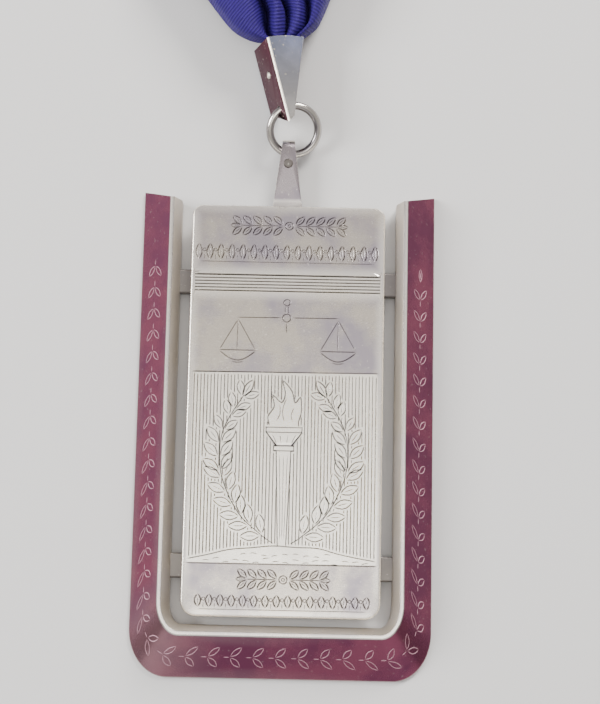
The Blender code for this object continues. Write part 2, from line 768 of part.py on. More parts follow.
def band_rows(loop, side):
    """The stretch from the crease towards the middle, coming down from the strand to the ground."""
    lift = RIBBON_WALL + RIBBON_FOLD_GAP
    crease_x, crease_y = loop.strand_plan(0.5, GATHER_LENGTH + loop.strand)
    covered = RIBBON_WIDTH * (0.5 / math.tan(loop.cut) + math.tan(RIBBON_SPREAD)) + lift
    rows = []
    for ramp in (0, 0.5, 1):
        level = lift * (1 - eased(ramp))
        x = crease_x - covered - BAND_RAMP * ramp
        tops = []
        lows = []
        for _, _, across, _ in THREADS:
            y = crease_y - (0.5 - across) * RIBBON_WIDTH
            tops.append(loop.world(side, x, y, level))
            lows.append(loop.world(side, x, y, level + RIBBON_WALL))
        rows.append((tops, lows))
    return rows


def build_ribbon(finish):
    """The whole loop as one closed strip, from its left end in the bail round to its right end there."""
    loop = Loop()
    halves = []
    for side in (-1, 1):
        halves.append(gather_rows(loop, side) + fold_rows(loop, side) + band_rows(loop, side))
    left, right = halves
    sections = left + list(reversed(right))
    rows = [tops + list(reversed(lows)) for tops, lows in sections]
    ribbon = piece("neck_ribbon", *skin(rows), finish)
    smooth(ribbon, 50)
    return ribbon


def main():
    for old in list(bpy.data.objects):
        bpy.data.objects.remove(old)
    silver = material("satin_silver", (0.66, 0.63, 0.62), 1.0, 0.34)
    plate_silver = material("brushed_silver", (0.74, 0.72, 0.70), 1.0, 0.38)
    bright_silver = material("polished_silver", (0.72, 0.72, 0.74), 1.0, 0.22)
    dull_silver = material("dull_silver", (0.32, 0.31, 0.30), 1.0, 0.45)
    cloth = material("blue_ribbed_ribbon", (0.055, 0.05, 0.32), 0.0, 0.75)
    build_surround(silver)
    build_plate(plate_silver)
    build_tongue(plate_silver)
    build_rivet(dull_silver)
    build_ring(bright_silver)
    build_bail(bright_silver)
    build_pin(bright_silver)
    build_ribbon(cloth)


main()
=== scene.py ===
"""The badge of office as it looks: engraved silver on a ribbed blue neck ribbon, lying on a pale floor."""

import math

import bmesh
import bpy
import numpy as np
from mathutils import Euler, Matrix, Vector
from mathutils.geometry import delaunay_2d_cdt


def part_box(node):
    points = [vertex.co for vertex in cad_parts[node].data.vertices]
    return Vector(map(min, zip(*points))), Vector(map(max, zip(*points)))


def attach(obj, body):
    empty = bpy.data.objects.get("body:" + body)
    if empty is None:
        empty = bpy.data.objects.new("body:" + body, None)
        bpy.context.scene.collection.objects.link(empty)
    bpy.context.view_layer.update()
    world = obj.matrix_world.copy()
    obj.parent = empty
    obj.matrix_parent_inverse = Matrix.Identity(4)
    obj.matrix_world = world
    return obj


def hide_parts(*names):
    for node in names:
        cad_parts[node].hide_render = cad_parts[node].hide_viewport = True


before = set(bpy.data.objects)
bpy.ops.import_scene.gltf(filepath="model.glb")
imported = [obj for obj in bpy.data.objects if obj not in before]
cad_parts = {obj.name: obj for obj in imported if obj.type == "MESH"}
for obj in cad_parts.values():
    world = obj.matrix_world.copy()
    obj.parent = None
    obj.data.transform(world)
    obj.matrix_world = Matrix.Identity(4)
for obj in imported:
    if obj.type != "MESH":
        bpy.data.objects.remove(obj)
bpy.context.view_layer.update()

bl_info = {
    "name": "Badge of Office",
    "version": (1, 0, 0),
    "blender": (4, 5, 0),
    "location": "3D View > Sidebar > Badge",
    "description": "Builds an engraved silver badge of office on its neck ribbon",
    "category": "Add Mesh",
}

MM = 0.001

# Points nearer than this are joined, in millimetres
JOIN_REACH = 0.002

# The plate's lowest and highest corner, in millimetres, and its foot
PLATE_LOW, PLATE_HIGH = (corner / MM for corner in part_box("centre_plate"))
FOOT = PLATE_LOW.y

# The surround and its cross bars, in millimetres, as the CAD solid has them
HALF_OUTER = 27.5
SURROUND_FOOT = -4.775
SURROUND_TOP = 85.525
SURROUND_DEPTH = 6.0
SIDE_BEVEL = 5.5
FOOT_BEVEL = 7.75
EDGE_LIP = 0.4
CREST = 0.5
INNER_LEAN = 1.3
LEAN_FOOT = 3.0
ARM_END_DROP = 2.1
EDGE_CORNER = (7.0, 8.7)
CREST_CORNER = (4.0, 5.8)
CORNER_STEPS = 20
BAR_HALF = 4.5 / 2
BAR_LOW = 1.0
BAR_TOP = 2.5
BAR_EASE = 0.28
BAR_LET_IN = 0.5
BAR_WEAR = 0.08
BAR_PLACES = (PLATE_HIGH.y - 14.3, FOOT + 9.1)

# The leaf chain on the bevel: its distance from the left arm's end and from the right one's, and its pairs
CHAIN_START = 13.5
CHAIN_STOP = 15.5
CHAIN_PAIRS = 46

# The bevel's painted highlight at its lower left corner: how far along it, and how bright
CORNER_GLOW_REACH = 13.0
CORNER_GLOW_LEVEL = 0.1

# The plate's edge
PLATE_CORNERS = (2.8, 2.0)
EDGE_ROUNDING = 0.42
EDGE_STEPS = 4
BACK_CHAMFER = 0.15

# The rims of the plate's panels: how far in the painted highlight reaches, and how bright
RIM_REACH = 2.2
RIM_GLOW_LEVEL = 0.6

# The ribbed band, measured up from the plate's foot
BAND_LOW = 59.65
BAND_HIGH = 63.05
BAND_RIDGES = 5
BAND_RIDGE_PITCH = 0.6
BAND_SUNK = 0.12
BAND_CREASE = 0.55
BAND_STEP = 0.07

# Where the engraving stands, measured up from the plate's foot: the field and the four rows
FIELD_LOW = 9.5
FIELD_HIGH = 44.6
FIELD_HALF = 17.3
FIELD_EASE = 0.05
BEAM_HEIGHT = 54.8
ORNAMENT_ROWS = (
    # middle x, half width, low, high
    (0.1, 11.0, 70.5, 74.1),
    (-0.2, 16.4, 65.3, 68.9),
    (0.4, 8.6, 5.0, 8.5),
    (0.3, 15.2, 1.3, 4.2),
)

# The jump ring, to its wire's middle, and how finely it is meshed
RING_RADIUS = 4.6
RING_WIRE = 1.45
RING_STEPS = 96
WIRE_SIDES = 20

# The bail and the gathered ribbon
BAIL_TIP = (0.04, PLATE_HIGH.y + 15.55, 8.326)
BAIL_LENGTH = 16.3
BAIL_MOUTH = 7.4
BAIL_DEPTH = 7.5
BAIL_TIP_WIDTH = 1.06
BAIL_SHEET = 0.8
BAIL_CORNER = 0.36
BAIL_LEAN = math.radians(5.0)
BAIL_TURN = math.radians(20.9)
MOUTH_CLEAR = 0.2
PLUG_CLEAR = 0.25
RIBBON_SPREAD = math.radians(23)
STRAND_START = 1.45
THREAD_COUNT = 61
GATHER_LENGTH = 110.0
GATHER_ROOT = 5.0
GATHER_ROWS = 60
FOLD_TURNS = 12
STRAND_ROWS = 40
BAND_ROWS = 36
FOLD_RADIUS = 0.55
FOLD_BACK = 1.2
BAND_RAMP = 16.0
WARP_PITCH = 0.22

# How strongly the ribs fan out at either end, where they start to settle, and over what length
FAN_SHARES = (1.6, 1.35)
FAN_START = 14
FAN_LENGTH = 95

# One row for each main line of thread across a strand: its place in the mouth, its height there, its place
# across the flat ribbon, and its rise in the pleats
THREADS = (
    # mouth, height, across, rise
    (1.00, 0.30, 0.00, -0.80),
    (0.97, 0.85, 0.09, 0.20),
    (0.86, 1.00, 0.20, 0.85),
    (0.70, 0.95, 0.33, 1.00),
    (0.58, 0.60, 0.45, 0.30),
    (0.50, 0.05, 0.55, -1.15),
    (0.40, 0.62, 0.65, 0.25),
    (0.26, 1.00, 0.76, 0.95),
    (0.10, 0.85, 0.88, 0.45),
    (0.00, 0.10, 1.00, -1.00),
)
VALLEY_ACROSS = 0.55
VALLEY_EVEN = 0.50

# One row for each cross-section near the mouth, in shares of the gather's length: its place along it, how
# far the pleats are open, where the strands meet, each strand's outer edge, and its valley's share
NEAR_ROWS = (
    # along, pleats, meeting point, left edge, left valley, right edge, right valley
    (0.000, 0.00, (0.0059, 0.0000), (0.0215, 0.0000), 0.50, (0.0240, 0.0000), 0.86),
    (0.012, 0.20, (0.0100, 0.0080), (0.0430, 0.0065), 0.46, (0.0440, 0.0130), 0.80),
    (0.030, 0.45, (0.0155, 0.0270), (0.0740, 0.0270), 0.38, (0.0670, 0.0310), 0.70),
    (0.055, 0.65, (0.0170, 0.0510), (0.0975, 0.0600), 0.29, (0.0800, 0.0540), 0.62),
    (0.085, 0.80, (0.0070, 0.0820), (0.1190, 0.0950), 0.24, (0.0920, 0.0810), 0.57),
    (0.120, 0.92, (-0.0020, 0.1180), (0.1430, 0.1300), 0.25, (0.1090, 0.1165), 0.54),
)
FAR_ROWS = (
    # along, pleats
    (0.17, 1.00),
    (0.24, 0.95),
    (0.34, 0.72),
    (0.48, 0.42),
    (0.65, 0.18),
    (0.82, 0.05),
    (1.00, 0.00),
)
PLEAT_HEIGHT = 2.6
MOUTH_JOIN = 0.65

# The angles at which a strand's outer and inner edges leave the last row near the mouth
LEFT_FAN = (math.radians(33), math.radians(6))
RIGHT_FAN = (math.radians(30), math.radians(6))

# The camera, from the photograph: its tilt, pan and roll, what it looks at, and how far away it stands
CAMERA_TILT = math.radians(9.601)
CAMERA_PAN = math.radians(0.209)
CAMERA_ROLL = math.radians(1.231)
CAMERA_TARGET = Vector((2.564, 55.475, 0))
CAMERA_DISTANCE = 304.323
CAMERA_FOCUS = 83.05
CAMERA_SENSOR = 36.0

# The floor, in metres: half its width, and how far it lies under the part
FLOOR_HALF = 8.0
FLOOR_DROP = 0.0002

# The soft lights, in metres and watts
LIGHTS = (
    # name, place, target, size, power, colour
    ("right_softbox", (0.46, 0.9, 0.6), (0, 0.06, 0), (0.4, 0.4), 15.0, (1.0, 0.985, 0.965)),
    ("left_fill", (-0.92, 0.2, 0.6), (0, 0.06, 0), (0.45, 0.45), 15.0, (0.97, 0.98, 1.0)),
    ("foot_fill", (0.0, -0.95, 0.42), (0, 0.03, 0), (2.5, 0.3), 2.6, (1, 1, 1)),
    ("head_fill", (0.0, 1.2, 0.45), (0, 0.1, 0), (1.4, 0.3), 2.0, (1, 1, 1)),
    ("overhead_softbox", (0.0, -0.1, 1.1), (0, 0.06, 0), (0.4, 0.4), 1.6, (1, 1, 1)),
)

# The studio's light by height, from the horizon (0) to straight overhead (1)
TENT_SHADES = ((0.12, 0.7), (0.25, 0.52), (0.42, 0.46), (0.78, 0.36), (0.93, 1.02))


def linear(code):
    """An sRGB hex colour as linear red, green and blue."""
    shares = [int(code[i : i + 2], 16) / 255 for i in (1, 3, 5)]
    return tuple(c / 12.92 if c <= 0.04045 else ((c + 0.055) / 1.055) ** 2.4 for c in shares)


def size_property(name, description, start):
    """A length that a user may change, with its start in millimetres."""
    return bpy.props.FloatProperty(name=name, description=description, default=start * MM, unit="LENGTH")


def colour_property(name, description, start):
    """A colour that a user may change, with its start as an sRGB code."""
    return bpy.props.FloatVectorProperty(
        name=name, description=description, subtype="COLOR", default=linear(start)
    )


class BadgeSizes(bpy.types.PropertyGroup):
    """The sizes a user may change."""

    groove_depth: size_property("Groove Depth", "Depth of a full graver's cut", 0.13)
    groove_width: size_property("Groove Width", "Width of a full graver's cut", 0.32)
    hatch_pitch: size_property("Hatch Pitch", "Pitch of the upright hatch lines", 0.62)
    ribbon_width: size_property("Ribbon Width", "Width of the flat ribbon", 38.0)
    ribbon_length: size_property("Ribbon Length", "Its whole length, end to end", 760.0)
    ribbon_thickness: size_property("Ribbon Thickness", "Thickness of the cloth", 0.45)
    ribbon_rib: size_property("Ribbon Rib", "Pitch of the ribs of the weave", 0.64)


class BadgeColours(bpy.types.PropertyGroup):
    """The colours a user may change."""

    satin: colour_property("Satin Silver", "Silver of the surround", "#a6a09e")
    # The bevels' maroon is a painted reflection of dark red cloth
    bevel: colour_property("Bevel Silver", "Silver of the bevels", "#764054")
    plate: colour_property("Plate Silver", "Silver of the plate", "#cbc3b8")
    # The bail's blue cast is a painted reflection
    bright: colour_property("Polished Silver", "Silver of the bail", "#a3abc6")
    # Also the colour of painted highlights
    worn: colour_property("Worn Edge", "Worn edges", "#fff8ea")
    dull: colour_property("Tarnish", "Bars and rivet", "#706b67")
    grime: colour_property("Groove Tarnish", "In the cuts", "#3b3732")
    ribbon: colour_property("Ribbon Blue", "Dye of the ribbon", "#301c70")
    floor: colour_property("Floor", "The pale floor", "#dfddda")


def fill(tree, node, links):
    """Fills a node's sockets from values, sockets or other nodes."""
    for name, source in links.items():
        if isinstance(source, bpy.types.Node):
            source = source.outputs[0]
        if isinstance(source, bpy.types.NodeSocket):
            tree.links.new(source, node.inputs[name])
        else:
            node.inputs[name].default_value = source


def add_node(tree, kind, links=None, **settings):
    """Adds a shader node, sets its properties and fills its sockets."""
    node = tree.nodes.new("ShaderNode" + kind)
    for name, value in settings.items():
        setattr(node, name, value)
    fill(tree, node, links or {})
    return node


def maths(tree, operation, *values):
    """A Math node on values, sockets or other nodes."""
    return add_node(tree, "Math", dict(enumerate(values)), operation=operation)


def mix_colours(tree, factor, first, second, blend="MIX"):
    """The second colour laid over the first."""
    links = {"Factor": factor, 6: first, 7: second}
    return add_node(tree, "Mix", links, data_type="RGBA", blend_type=blend).outputs[2]


def blank_material(name):
    """A new material with its shader, and its place in millimetres."""
    made = bpy.data.materials.new(name)
    made.use_nodes = True
    tree = made.node_tree
    place = add_node(tree, "TexCoord").outputs["Object"]
    scaled = add_node(tree, "VectorMath", {0: place, 1: (1000, 1000, 1000)}, operation="MULTIPLY")
    return made, tree, tree.nodes["Principled BSDF"], scaled


def panel_rim_glow(tree, place):
    """How bright the painted highlight along the plate's panels' rims is, for a place in millimetres."""
    parts = add_node(tree, "SeparateXYZ", {0: place}).outputs
    rims = [("X", PLATE_LOW.x), ("X", PLATE_HIGH.x)]
    rims += [("Y", y) for y in (PLATE_LOW.y, PLATE_HIGH.y, FOOT + BAND_LOW, FOOT + BAND_HIGH)]
    nearest = RIM_REACH
    for axis, rim in rims:
        past = maths(tree, "SUBTRACT", parts[axis], rim)
        away = maths(tree, "ABSOLUTE", past)
        nearest = maths(tree, "MINIMUM", away, nearest)
    fade = {"Value": nearest, "From Max": RIM_REACH, "To Min": RIM_GLOW_LEVEL, "To Max": 0.0}
    return add_node(tree, "MapRange", fade, interpolation_type="SMOOTHSTEP")


def silver(name, colour, roughness, haze=0.14, brushed=(1.0, 1.0, 1.0), scratch=0.25, fleck=0.3, rims=False):
    """Sterling silver. Haze is clouds about 9 mm across, cool and dull against warm and clean, as old lacquer
    and handling leave them. Brushing is fine lines, flecks are nicks about 0.3 mm across painted bright as
    glints, the grooves hold tarnish, and rims are the plate's, with a painted highlight along them."""
    made, tree, shader, place = blank_material(name)
    colours = bpy.context.scene.badge_colours
    made.diffuse_color = (*colour, 1)
    clouds = add_node(tree, "TexNoise", {"Vector": place, "Scale": 0.11, "Detail": 5.0, "Roughness": 0.55})
    lines = add_node(tree, "VectorMath", {0: place, 1: brushed}, operation="MULTIPLY")
    fine = add_node(tree, "TexNoise", {"Vector": lines, "Scale": 3.0, "Detail": 3.0, "Roughness": 0.7})
    clean = add_node(tree, "MapRange", {"Value": clouds, "From Min": 0.4, "From Max": 0.6})
    dull, warm = (1 - haze * 1.1, 1 - haze * 1.15, 1 - haze * 0.72, 1), (1.0, 0.985, 0.955, 1)
    toned = mix_colours(tree, 1.0, (*colour, 1), mix_colours(tree, clean, dull, warm), "MULTIPLY")
    # Tarnish in the cuts, and painted shade on the ring
    groove = add_node(tree, "Attribute", attribute_name="groove").outputs["Fac"]
    # Worn edges, and painted highlights on most pieces
    wear = add_node(tree, "Attribute", attribute_name="wear").outputs["Fac"]
    packed = add_node(tree, "MapRange", {"Value": groove, "From Max": 0.45})
    filled = mix_colours(tree, packed, toned, (*colours.grime, 1))
    specks = add_node(tree, "TexNoise", {"Vector": place, "Scale": 1.7, "Detail": 1.0})
    nicks = add_node(tree, "MapRange", {"Value": specks, "From Min": 0.69, "From Max": 0.74, "To Max": fleck})
    bright = maths(tree, "MAXIMUM", nicks, wear)
    # A painted highlight along the plate's panels' rims
    if rims:
        level = maths(tree, "SUBTRACT", 1.0, packed)
        painted_highlight = maths(tree, "MULTIPLY", level, panel_rim_glow(tree, place))
        bright = maths(tree, "MAXIMUM", bright, painted_highlight)
    worn = mix_colours(tree, bright, filled, (*colours.worn, 1))
    spread = {"Value": fine, "From Min": 0.25, "From Max": 0.75, "To Min": -0.03, "To Max": 0.06}
    grain = add_node(tree, "MapRange", spread)
    matt = add_node(tree, "MapRange", {"Value": clean, "To Min": roughness + 0.07, "To Max": roughness})
    rough = maths(tree, "ADD", grain, matt)
    bump = add_node(tree, "Bump", {"Height": fine, "Strength": scratch, "Distance": 0.00002})
    fill(tree, shader, {"Base Color": worn, "Roughness": rough, "Normal": bump, "Metallic": 1.0})
    return made


def cut_silver():
    """The floor of the cuts on the bevels: frosted metal, its pink a painted reflection of red cloth and its
    paleness a painted glint, so that they show pale from any side.
    """
    made, tree, shader, _ = blank_material("frosted_cut_silver")
    colour = linear("#c49aa4")
    made.diffuse_color = (*colour, 1)
    fill(tree, shader, {"Base Color": (*colour, 1), "Metallic": 0.45, "Roughness": 0.6})
    return made


def corded_ribbon():
    """Corded silk ribbon. Weft ribs cross it every 0.64 mm, fine warp threads run along it, and the dye
    looks darker between the ribs, a painted shade, and softly shiny on top of them."""
    made, tree, shader, _ = blank_material("corded_silk_ribbon")
    colour = tuple(bpy.context.scene.badge_colours.ribbon)
    pitch = bpy.context.scene.badge_sizes.ribbon_rib
    made.diffuse_color = (*colour, 1)
    cloth = add_node(tree, "UVMap", uv_map="cloth")
    across, along, _ = add_node(tree, "SeparateXYZ", {0: cloth}).outputs
    waver = add_node(tree, "TexNoise", {"Vector": cloth, "Scale": 90.0, "Detail": 2.0})
    shifted = maths(tree, "MULTIPLY_ADD", waver, pitch * 0.5, along)
    weft = maths(tree, "MULTIPLY", shifted, 2 * math.pi / pitch)
    wave = maths(tree, "SINE", weft)
    rib = add_node(tree, "MapRange", {"Value": wave, "From Min": -1.0, "From Max": 1.0})
    threads = maths(tree, "MULTIPLY", across, 2 * math.pi / (WARP_PITCH * MM))
    warp = maths(tree, "SINE", threads)
    height = maths(tree, "MULTIPLY_ADD", warp, 0.06, rib)
    dye = add_node(tree, "TexNoise", {"Vector": cloth, "Scale": 400.0, "Detail": 3.0, "Roughness": 0.7})
    uneven = {"Value": dye, "From Min": 0.3, "From Max": 0.7, "To Min": 0.86, "To Max": 1.12}
    shade = add_node(tree, "MapRange", uneven)
    # Painted shade between the ribs
    depth = add_node(tree, "MapRange", {"Value": rib, "To Min": 0.62, "To Max": 1.08})
    both = maths(tree, "MULTIPLY", shade, depth)
    tinted = add_node(tree, "VectorMath", {0: colour, "Scale": both}, operation="SCALE")
    bump = add_node(tree, "Bump", {"Height": height, "Strength": 0.8, "Distance": 0.00012})
    fill(tree, shader, {"Base Color": tinted, "Normal": bump, "Roughness": 0.55, "Specular IOR Level": 0.18})
    fill(tree, shader, {"Sheen Weight": 0.06, "Sheen Roughness": 0.4, "Sheen Tint": (0.4, 0.33, 1.0, 1)})
    return made


def floor_paper():
    """Matt studio paper, with hardly any tooth."""
    made, tree, shader, place = blank_material("studio_paper")
    grain = add_node(tree, "TexNoise", {"Vector": place, "Scale": 1.5, "Detail": 2.0})
    bump = add_node(tree, "Bump", {"Height": grain, "Strength": 0.05, "Distance": 0.0001})
    colour = (*bpy.context.scene.badge_colours.floor, 1)
    fill(tree, shader, {"Base Color": colour, "Roughness": 0.9, "Normal": bump})
    return made


# One row for each silver: its material's name, its colour as a property's name or an sRGB code, its
# roughness, and where it differs from plain silver
SILVERS = {
    # Satin silver, brushed along the arms: soft grey with slow haze
    "satin_silver": ("satin_sterling_silver", "satin", 0.22, {"brushed": (4, 0.3, 4)}),
    # The tongue, cool grey and rubbed along its length
    "tongue_silver": ("rubbed_tongue_silver", "#968e91", 0.26, {"haze": 0.24, "brushed": (4, 0.5, 4)}),
    # The surround's inner walls, matt from the file, in the plate's lighter silver, which is painted light
    "wall_silver": ("matt_wall_silver", "plate", 0.5, {"haze": 0.1, "brushed": (4, 0.3, 4), "scratch": 0.1}),
    # The bail's sides, darker and redder than its front: a painted reflection of dark red cloth
    "side_silver": ("toned_side_silver", "#552b3a", 0.22, {}),
    # The bevels' dark maroon is a painted reflection of dark red cloth, so they are darker and warmer
    # than the handled faces
    "bevel_silver": (
        "toned_bevel_silver", "bevel", 0.22, {"haze": 0.26, "brushed": (4, 0.3, 4), "fleck": 0.07}
    ),
    # Finely brushed plate, with cool and warm clouds and a painted highlight along its rims
    "plate_silver": (
        "brushed_plate_silver", "plate", 0.23, {"haze": 0.33, "brushed": (0.35, 4, 4), "rims": True}
    ),
    # Polished silver with wear scratches; its blue cast is a painted reflection, and its bright flecks are
    # painted glints
    "polished_silver": ("polished_silver", "bright", 0.14, {"haze": 0.16, "scratch": 0.4, "fleck": 0.9}),
    # The ring: its darker grey is a painted dark reflection, its inner side painted shade and its top a
    # painted highlight
    "ring_silver": ("rubbed_ring_silver", "#8f8a8b", 0.16, {"haze": 0.1, "scratch": 0.4, "fleck": 0.2}),
    # Edges that cuffs and cloths keep bright, with painted highlights along them
    "scuffed_highlight_silver": ("worn_edge_silver", "worn", 0.4, {"haze": 0.05}),
    # The bars under the plate and the tongue's rivet, never polished
    "dull_silver": ("tarnished_silver", "dull", 0.42, {"haze": 0.2}),
}
# The frosted cuts, the silk and the paper
OTHERS = {"cut_silver": cut_silver, "ribbon": corded_ribbon, "floor": floor_paper}
FINISHES = {}


def finish(name):
    """The named finish, made on its first use."""
    if name in SILVERS and name not in FINISHES:
        label, colour, roughness, more = SILVERS[name]
        if colour.startswith("#"):
            colour = linear(colour)
        else:
            colour = tuple(getattr(bpy.context.scene.badge_colours, colour))
        FINISHES[name] = silver(label, colour, roughness, **more)
    elif name not in FINISHES:
        FINISHES[name] = OTHERS[name]()
    return FINISHES[name]


def linked(name, data):
    """A new object in the scene, for a mesh, a light or a camera."""
    made = bpy.data.objects.new(name, data)
    bpy.context.scene.collection.objects.link(made)
    return made


def quads(rows, count, start=0, closed=True):
    """Faces between neighbouring rows of points, where each row is a ring unless closed is off."""
    faces = []
    for r in range(rows - 1):
        for k in range(count if closed else count - 1):
            a, b = start + r * count + k, start + r * count + (k + 1) % count
            faces.append((a, b, b + count, a + count))
    return faces


def make_piece(name, points, faces, finishes, node, sharp, values, kinds=None):
    """A mesh piece from points in millimetres, in place of a solid. Shared points are joined, values are kept
    on the points, and kinds gives each face its finish."""
    mesh = bpy.data.meshes.new(name)
    mesh.from_pydata([tuple(c * MM for c in p) for p in points], [], faces)
    for label, numbers in values.items():
        attribute = mesh.attributes.new(label, "FLOAT", "POINT")
        attribute.data.foreach_set("value", np.asarray(numbers, np.float32))
    for used in finishes:
        mesh.materials.append(finish(used))
    if kinds:
        mesh.polygons.foreach_set("material_index", kinds)
    shape = bmesh.new()
    shape.from_mesh(mesh)
    bmesh.ops.remove_doubles(shape, verts=shape.verts, dist=JOIN_REACH * MM)
    bmesh.ops.recalc_face_normals(shape, faces=shape.faces)
    shape.to_mesh(mesh)
    shape.free()
    made = linked(name, mesh)
    mesh.shade_smooth()
    mesh.set_sharp_from_angle(angle=math.radians(sharp))
    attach(made, "root")
    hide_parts(node)


def arc(centre, radii, start, end, steps):
    """Points on an elliptical arc, angles in degrees."""
    angles = [math.radians(start + (end - start) * i / steps) for i in range(steps + 1)]
    return [(centre[0] + radii[0] * math.cos(a), centre[1] + radii[1] * math.sin(a)) for a in angles]


def inside(points, polygon):
    """Which points of an array lie in the polygon."""
    found = np.zeros(len(points), bool)
    x, y = points[:, 0], points[:, 1]
    for (x0, y0), (x1, y1) in zip(polygon, polygon[1:] + polygon[:1]):
        if y0 != y1:
            crosses = (y0 > y) != (y1 > y)
            found ^= crosses & (x < (x1 - x0) * (y - y0) / (y1 - y0) + x0)
    return found


class Engraving:
    """Graver's cuts on a plan in millimetres. Each is a V groove that runs out at its ends, cut into the
    surface as real facets."""

    def __init__(self, border):
        self.points = [tuple(p) for p in border]
        self.border = len(border)
        self.edges = [(i, (i + 1) % len(border)) for i in range(len(border))]
        self.runs = []
        self.masks = []

    def line(self, path, closed=False):
        """A crease with no depth."""
        start = len(self.points)
        self.points += [tuple(p) for p in path]
        last = len(path) if closed else len(path) - 1
        self.edges += [(start + i, start + (i + 1) % len(path)) for i in range(last)]

    def cut(self, path, width=1.0, depth=1.0, taper=0.9):
        """One groove along a path, its width and depth as shares of a full cut."""
        sizes = bpy.context.scene.badge_sizes
        half = sizes.groove_width / MM / 2 * width
        deep = sizes.groove_depth / MM * depth
        spine = [Vector(p) for p in path]
        length = sum((b - a).length for a, b in zip(spine, spine[1:]))
        closed = (spine[0] - spine[-1]).length < 1e-6
        run_out = 0 if closed or not taper else min(taper, length * 0.3)
        if run_out:
            spine = extra_point(spine, run_out)
            spine = extra_point(spine[::-1], run_out)[::-1]
        count = len(spine)
        sides = []
        for i, here in enumerate(spine):
            before = spine[i - 1] if i else (spine[-2] if closed else here)
            after = spine[i + 1] if i < count - 1 else (spine[1] if closed else here)
            into = (here - before).normalized() if (here - before).length else (after - here).normalized()
            out = (after - here).normalized() if (after - here).length else into
            normal = Vector((-(into.y + out.y), into.x + out.x))
            normal = normal.normalized() if normal.length > 1e-6 else Vector((-into.y, into.x))
            stretch = 1 / max(normal.dot(Vector((-into.y, into.x))), 0.6)
            sides.append(normal * half * stretch)
        shares = [0.0 if run_out and i in (0, count - 1) else 1.0 for i in range(count)]
        middle = spine[:-1] if closed else spine
        self.line(middle, closed)
        for sign in (1, -1):
            edge = [p + s * sign * share for p, s, share in zip(spine, sides, shares)]
            self.line(edge[:-1] if closed else edge, closed)
        for i in range(count - 1):
            a, b = shares[i : i + 2]
            self.runs.append((*spine[i], *spine[i + 1], half * a, half * b, deep * a, deep * b))

    def depths(self, points):
        """How deep each point lies below the surface."""
        deep = np.zeros(len(points))
        order = np.argsort(points[:, 0])
        xs = points[order, 0]
        for ax, ay, bx, by, wa, wb, da, db in self.runs:
            reach = max(wa, wb) + 0.01
            low = np.searchsorted(xs, min(ax, bx) - reach)
            high = np.searchsorted(xs, max(ax, bx) + reach)
            chosen = order[low:high]
            p = points[chosen] - (ax, ay)
            way = np.array((bx - ax, by - ay))
            share = np.clip(p @ way / max(way @ way, 1e-12), 0, 1)
            off = np.linalg.norm(p - share[:, None] * way, axis=1)
            wide = wa + (wb - wa) * share
            near = np.clip(1 - off / np.maximum(wide, 1e-6), 0, 1)
            deep[chosen] = np.maximum(deep[chosen], near * (da + (db - da) * share))
        return deep

    def surface(self):
        """The plan's points and triangles, with all cuts' edges in them, and each point's depth."""
        made = delaunay_2d_cdt([Vector(p) for p in self.points], self.edges, [], 1, 1e-4, False)
        points = np.array([tuple(v) for v in made[0]])
        return points, [tuple(f) for f in made[2]], self.depths(points)


def extra_point(path, distance):
    """The path with a point added at a distance from its start."""
    for i, (a, b) in enumerate(zip(path, path[1:])):
        step = (b - a).length
        if distance < step - 0.05:
            return path[: i + 1] + [a + (b - a) * (distance / step)] + path[i + 1 :]
        if distance < step + 0.05:
            return path
        distance -= step
    return path


def bowed(start, end, bow, steps=5):
    """A path from start to end that bows to its left by a distance."""
    a, b = Vector(start), Vector(end)
    side = Vector((-(b - a).y, (b - a).x)).normalized()
    return [a + (b - a) * (i / steps) + side * bow * math.sin(math.pi * i / steps) for i in range(steps + 1)]


def leaf(cuts, root, angle, length, width, stroke=1.0, vein=True, mask=False):
    """A pointed leaf: two bowed cuts that meet at root and tip, and a vein."""
    way = Vector((math.cos(angle), math.sin(angle)))
    start = Vector(root)
    left, right = (bowed(start, start + way * length, bow) for bow in (width / 2, -width / 2))
    for side in (left, right):
        cuts.cut(side, stroke, stroke, 0.5)
    if vein:
        cuts.cut([start + way * length * 0.18, start + way * length * 0.74], 0.55, 0.5, 0.5)
    if mask:
        cuts.masks.append([tuple(p) for p in left + right[::-1]])


def ring(cuts, centre, radius, width=0.8, steps=12):
    """A round cut."""
    path = arc(centre, (radius, radius), 0, 360, steps)
    cuts.cut(path[:-1] + path[:1], width, width, 0)


def leaf_garland(cuts, middle, half, low, high):
    """Paired leaves on a stem that run out from a rosette in the middle."""
    y, tall = (low + high) / 2, (high - low) / 2
    ring(cuts, (middle, y), tall * 0.42)
    ring(cuts, (middle, y), tall * 0.16, 0.6, 8)
    for side in (-1, 1):
        count = max(int(half / 2.15), 2)
        step = (half - tall * 0.8) / count
        x0 = middle + side * tall * 0.6
        cuts.cut([(x0, y), (middle + side * (half - 1.6), y)], 0.7, 0.7, 0.8)
        for i in range(count):
            x = x0 + side * (step * i + 0.1)
            for up in (-1, 1):
                angle = math.radians(90 - side * 90) + side * up * math.radians(44)
                leaf(cuts, (x, y + up * 0.16), angle, tall * 1.38, tall * 0.56)
        leaf(cuts, (middle + side * (half - 1.9), y), math.radians(90 - side * 90), 1.9, 0.8)


def leaf_and_dot(cuts, middle, half, low, high):
    """Upright leaves with dots between, on a fine ground line."""
    tall = high - low
    count = int(2 * half / 2.0)
    step = 2 * half / count
    cuts.cut([(middle - half, low), (middle + half, low)], 0.55, 0.5, 0.8)
    for i in range(count + 1):
        x = middle - half + step * i
        leaf(cuts, (x, low + 0.35), math.radians(90), tall - 0.5, 1.15)
        if i < count:
            ring(cuts, (x + step / 2, low + tall * 0.62), 0.3, 0.6, 8)
            cuts.cut([(x + step / 2, low + 0.2), (x + step / 2, low + tall * 0.42)], 0.5, 0.5, 0.5)


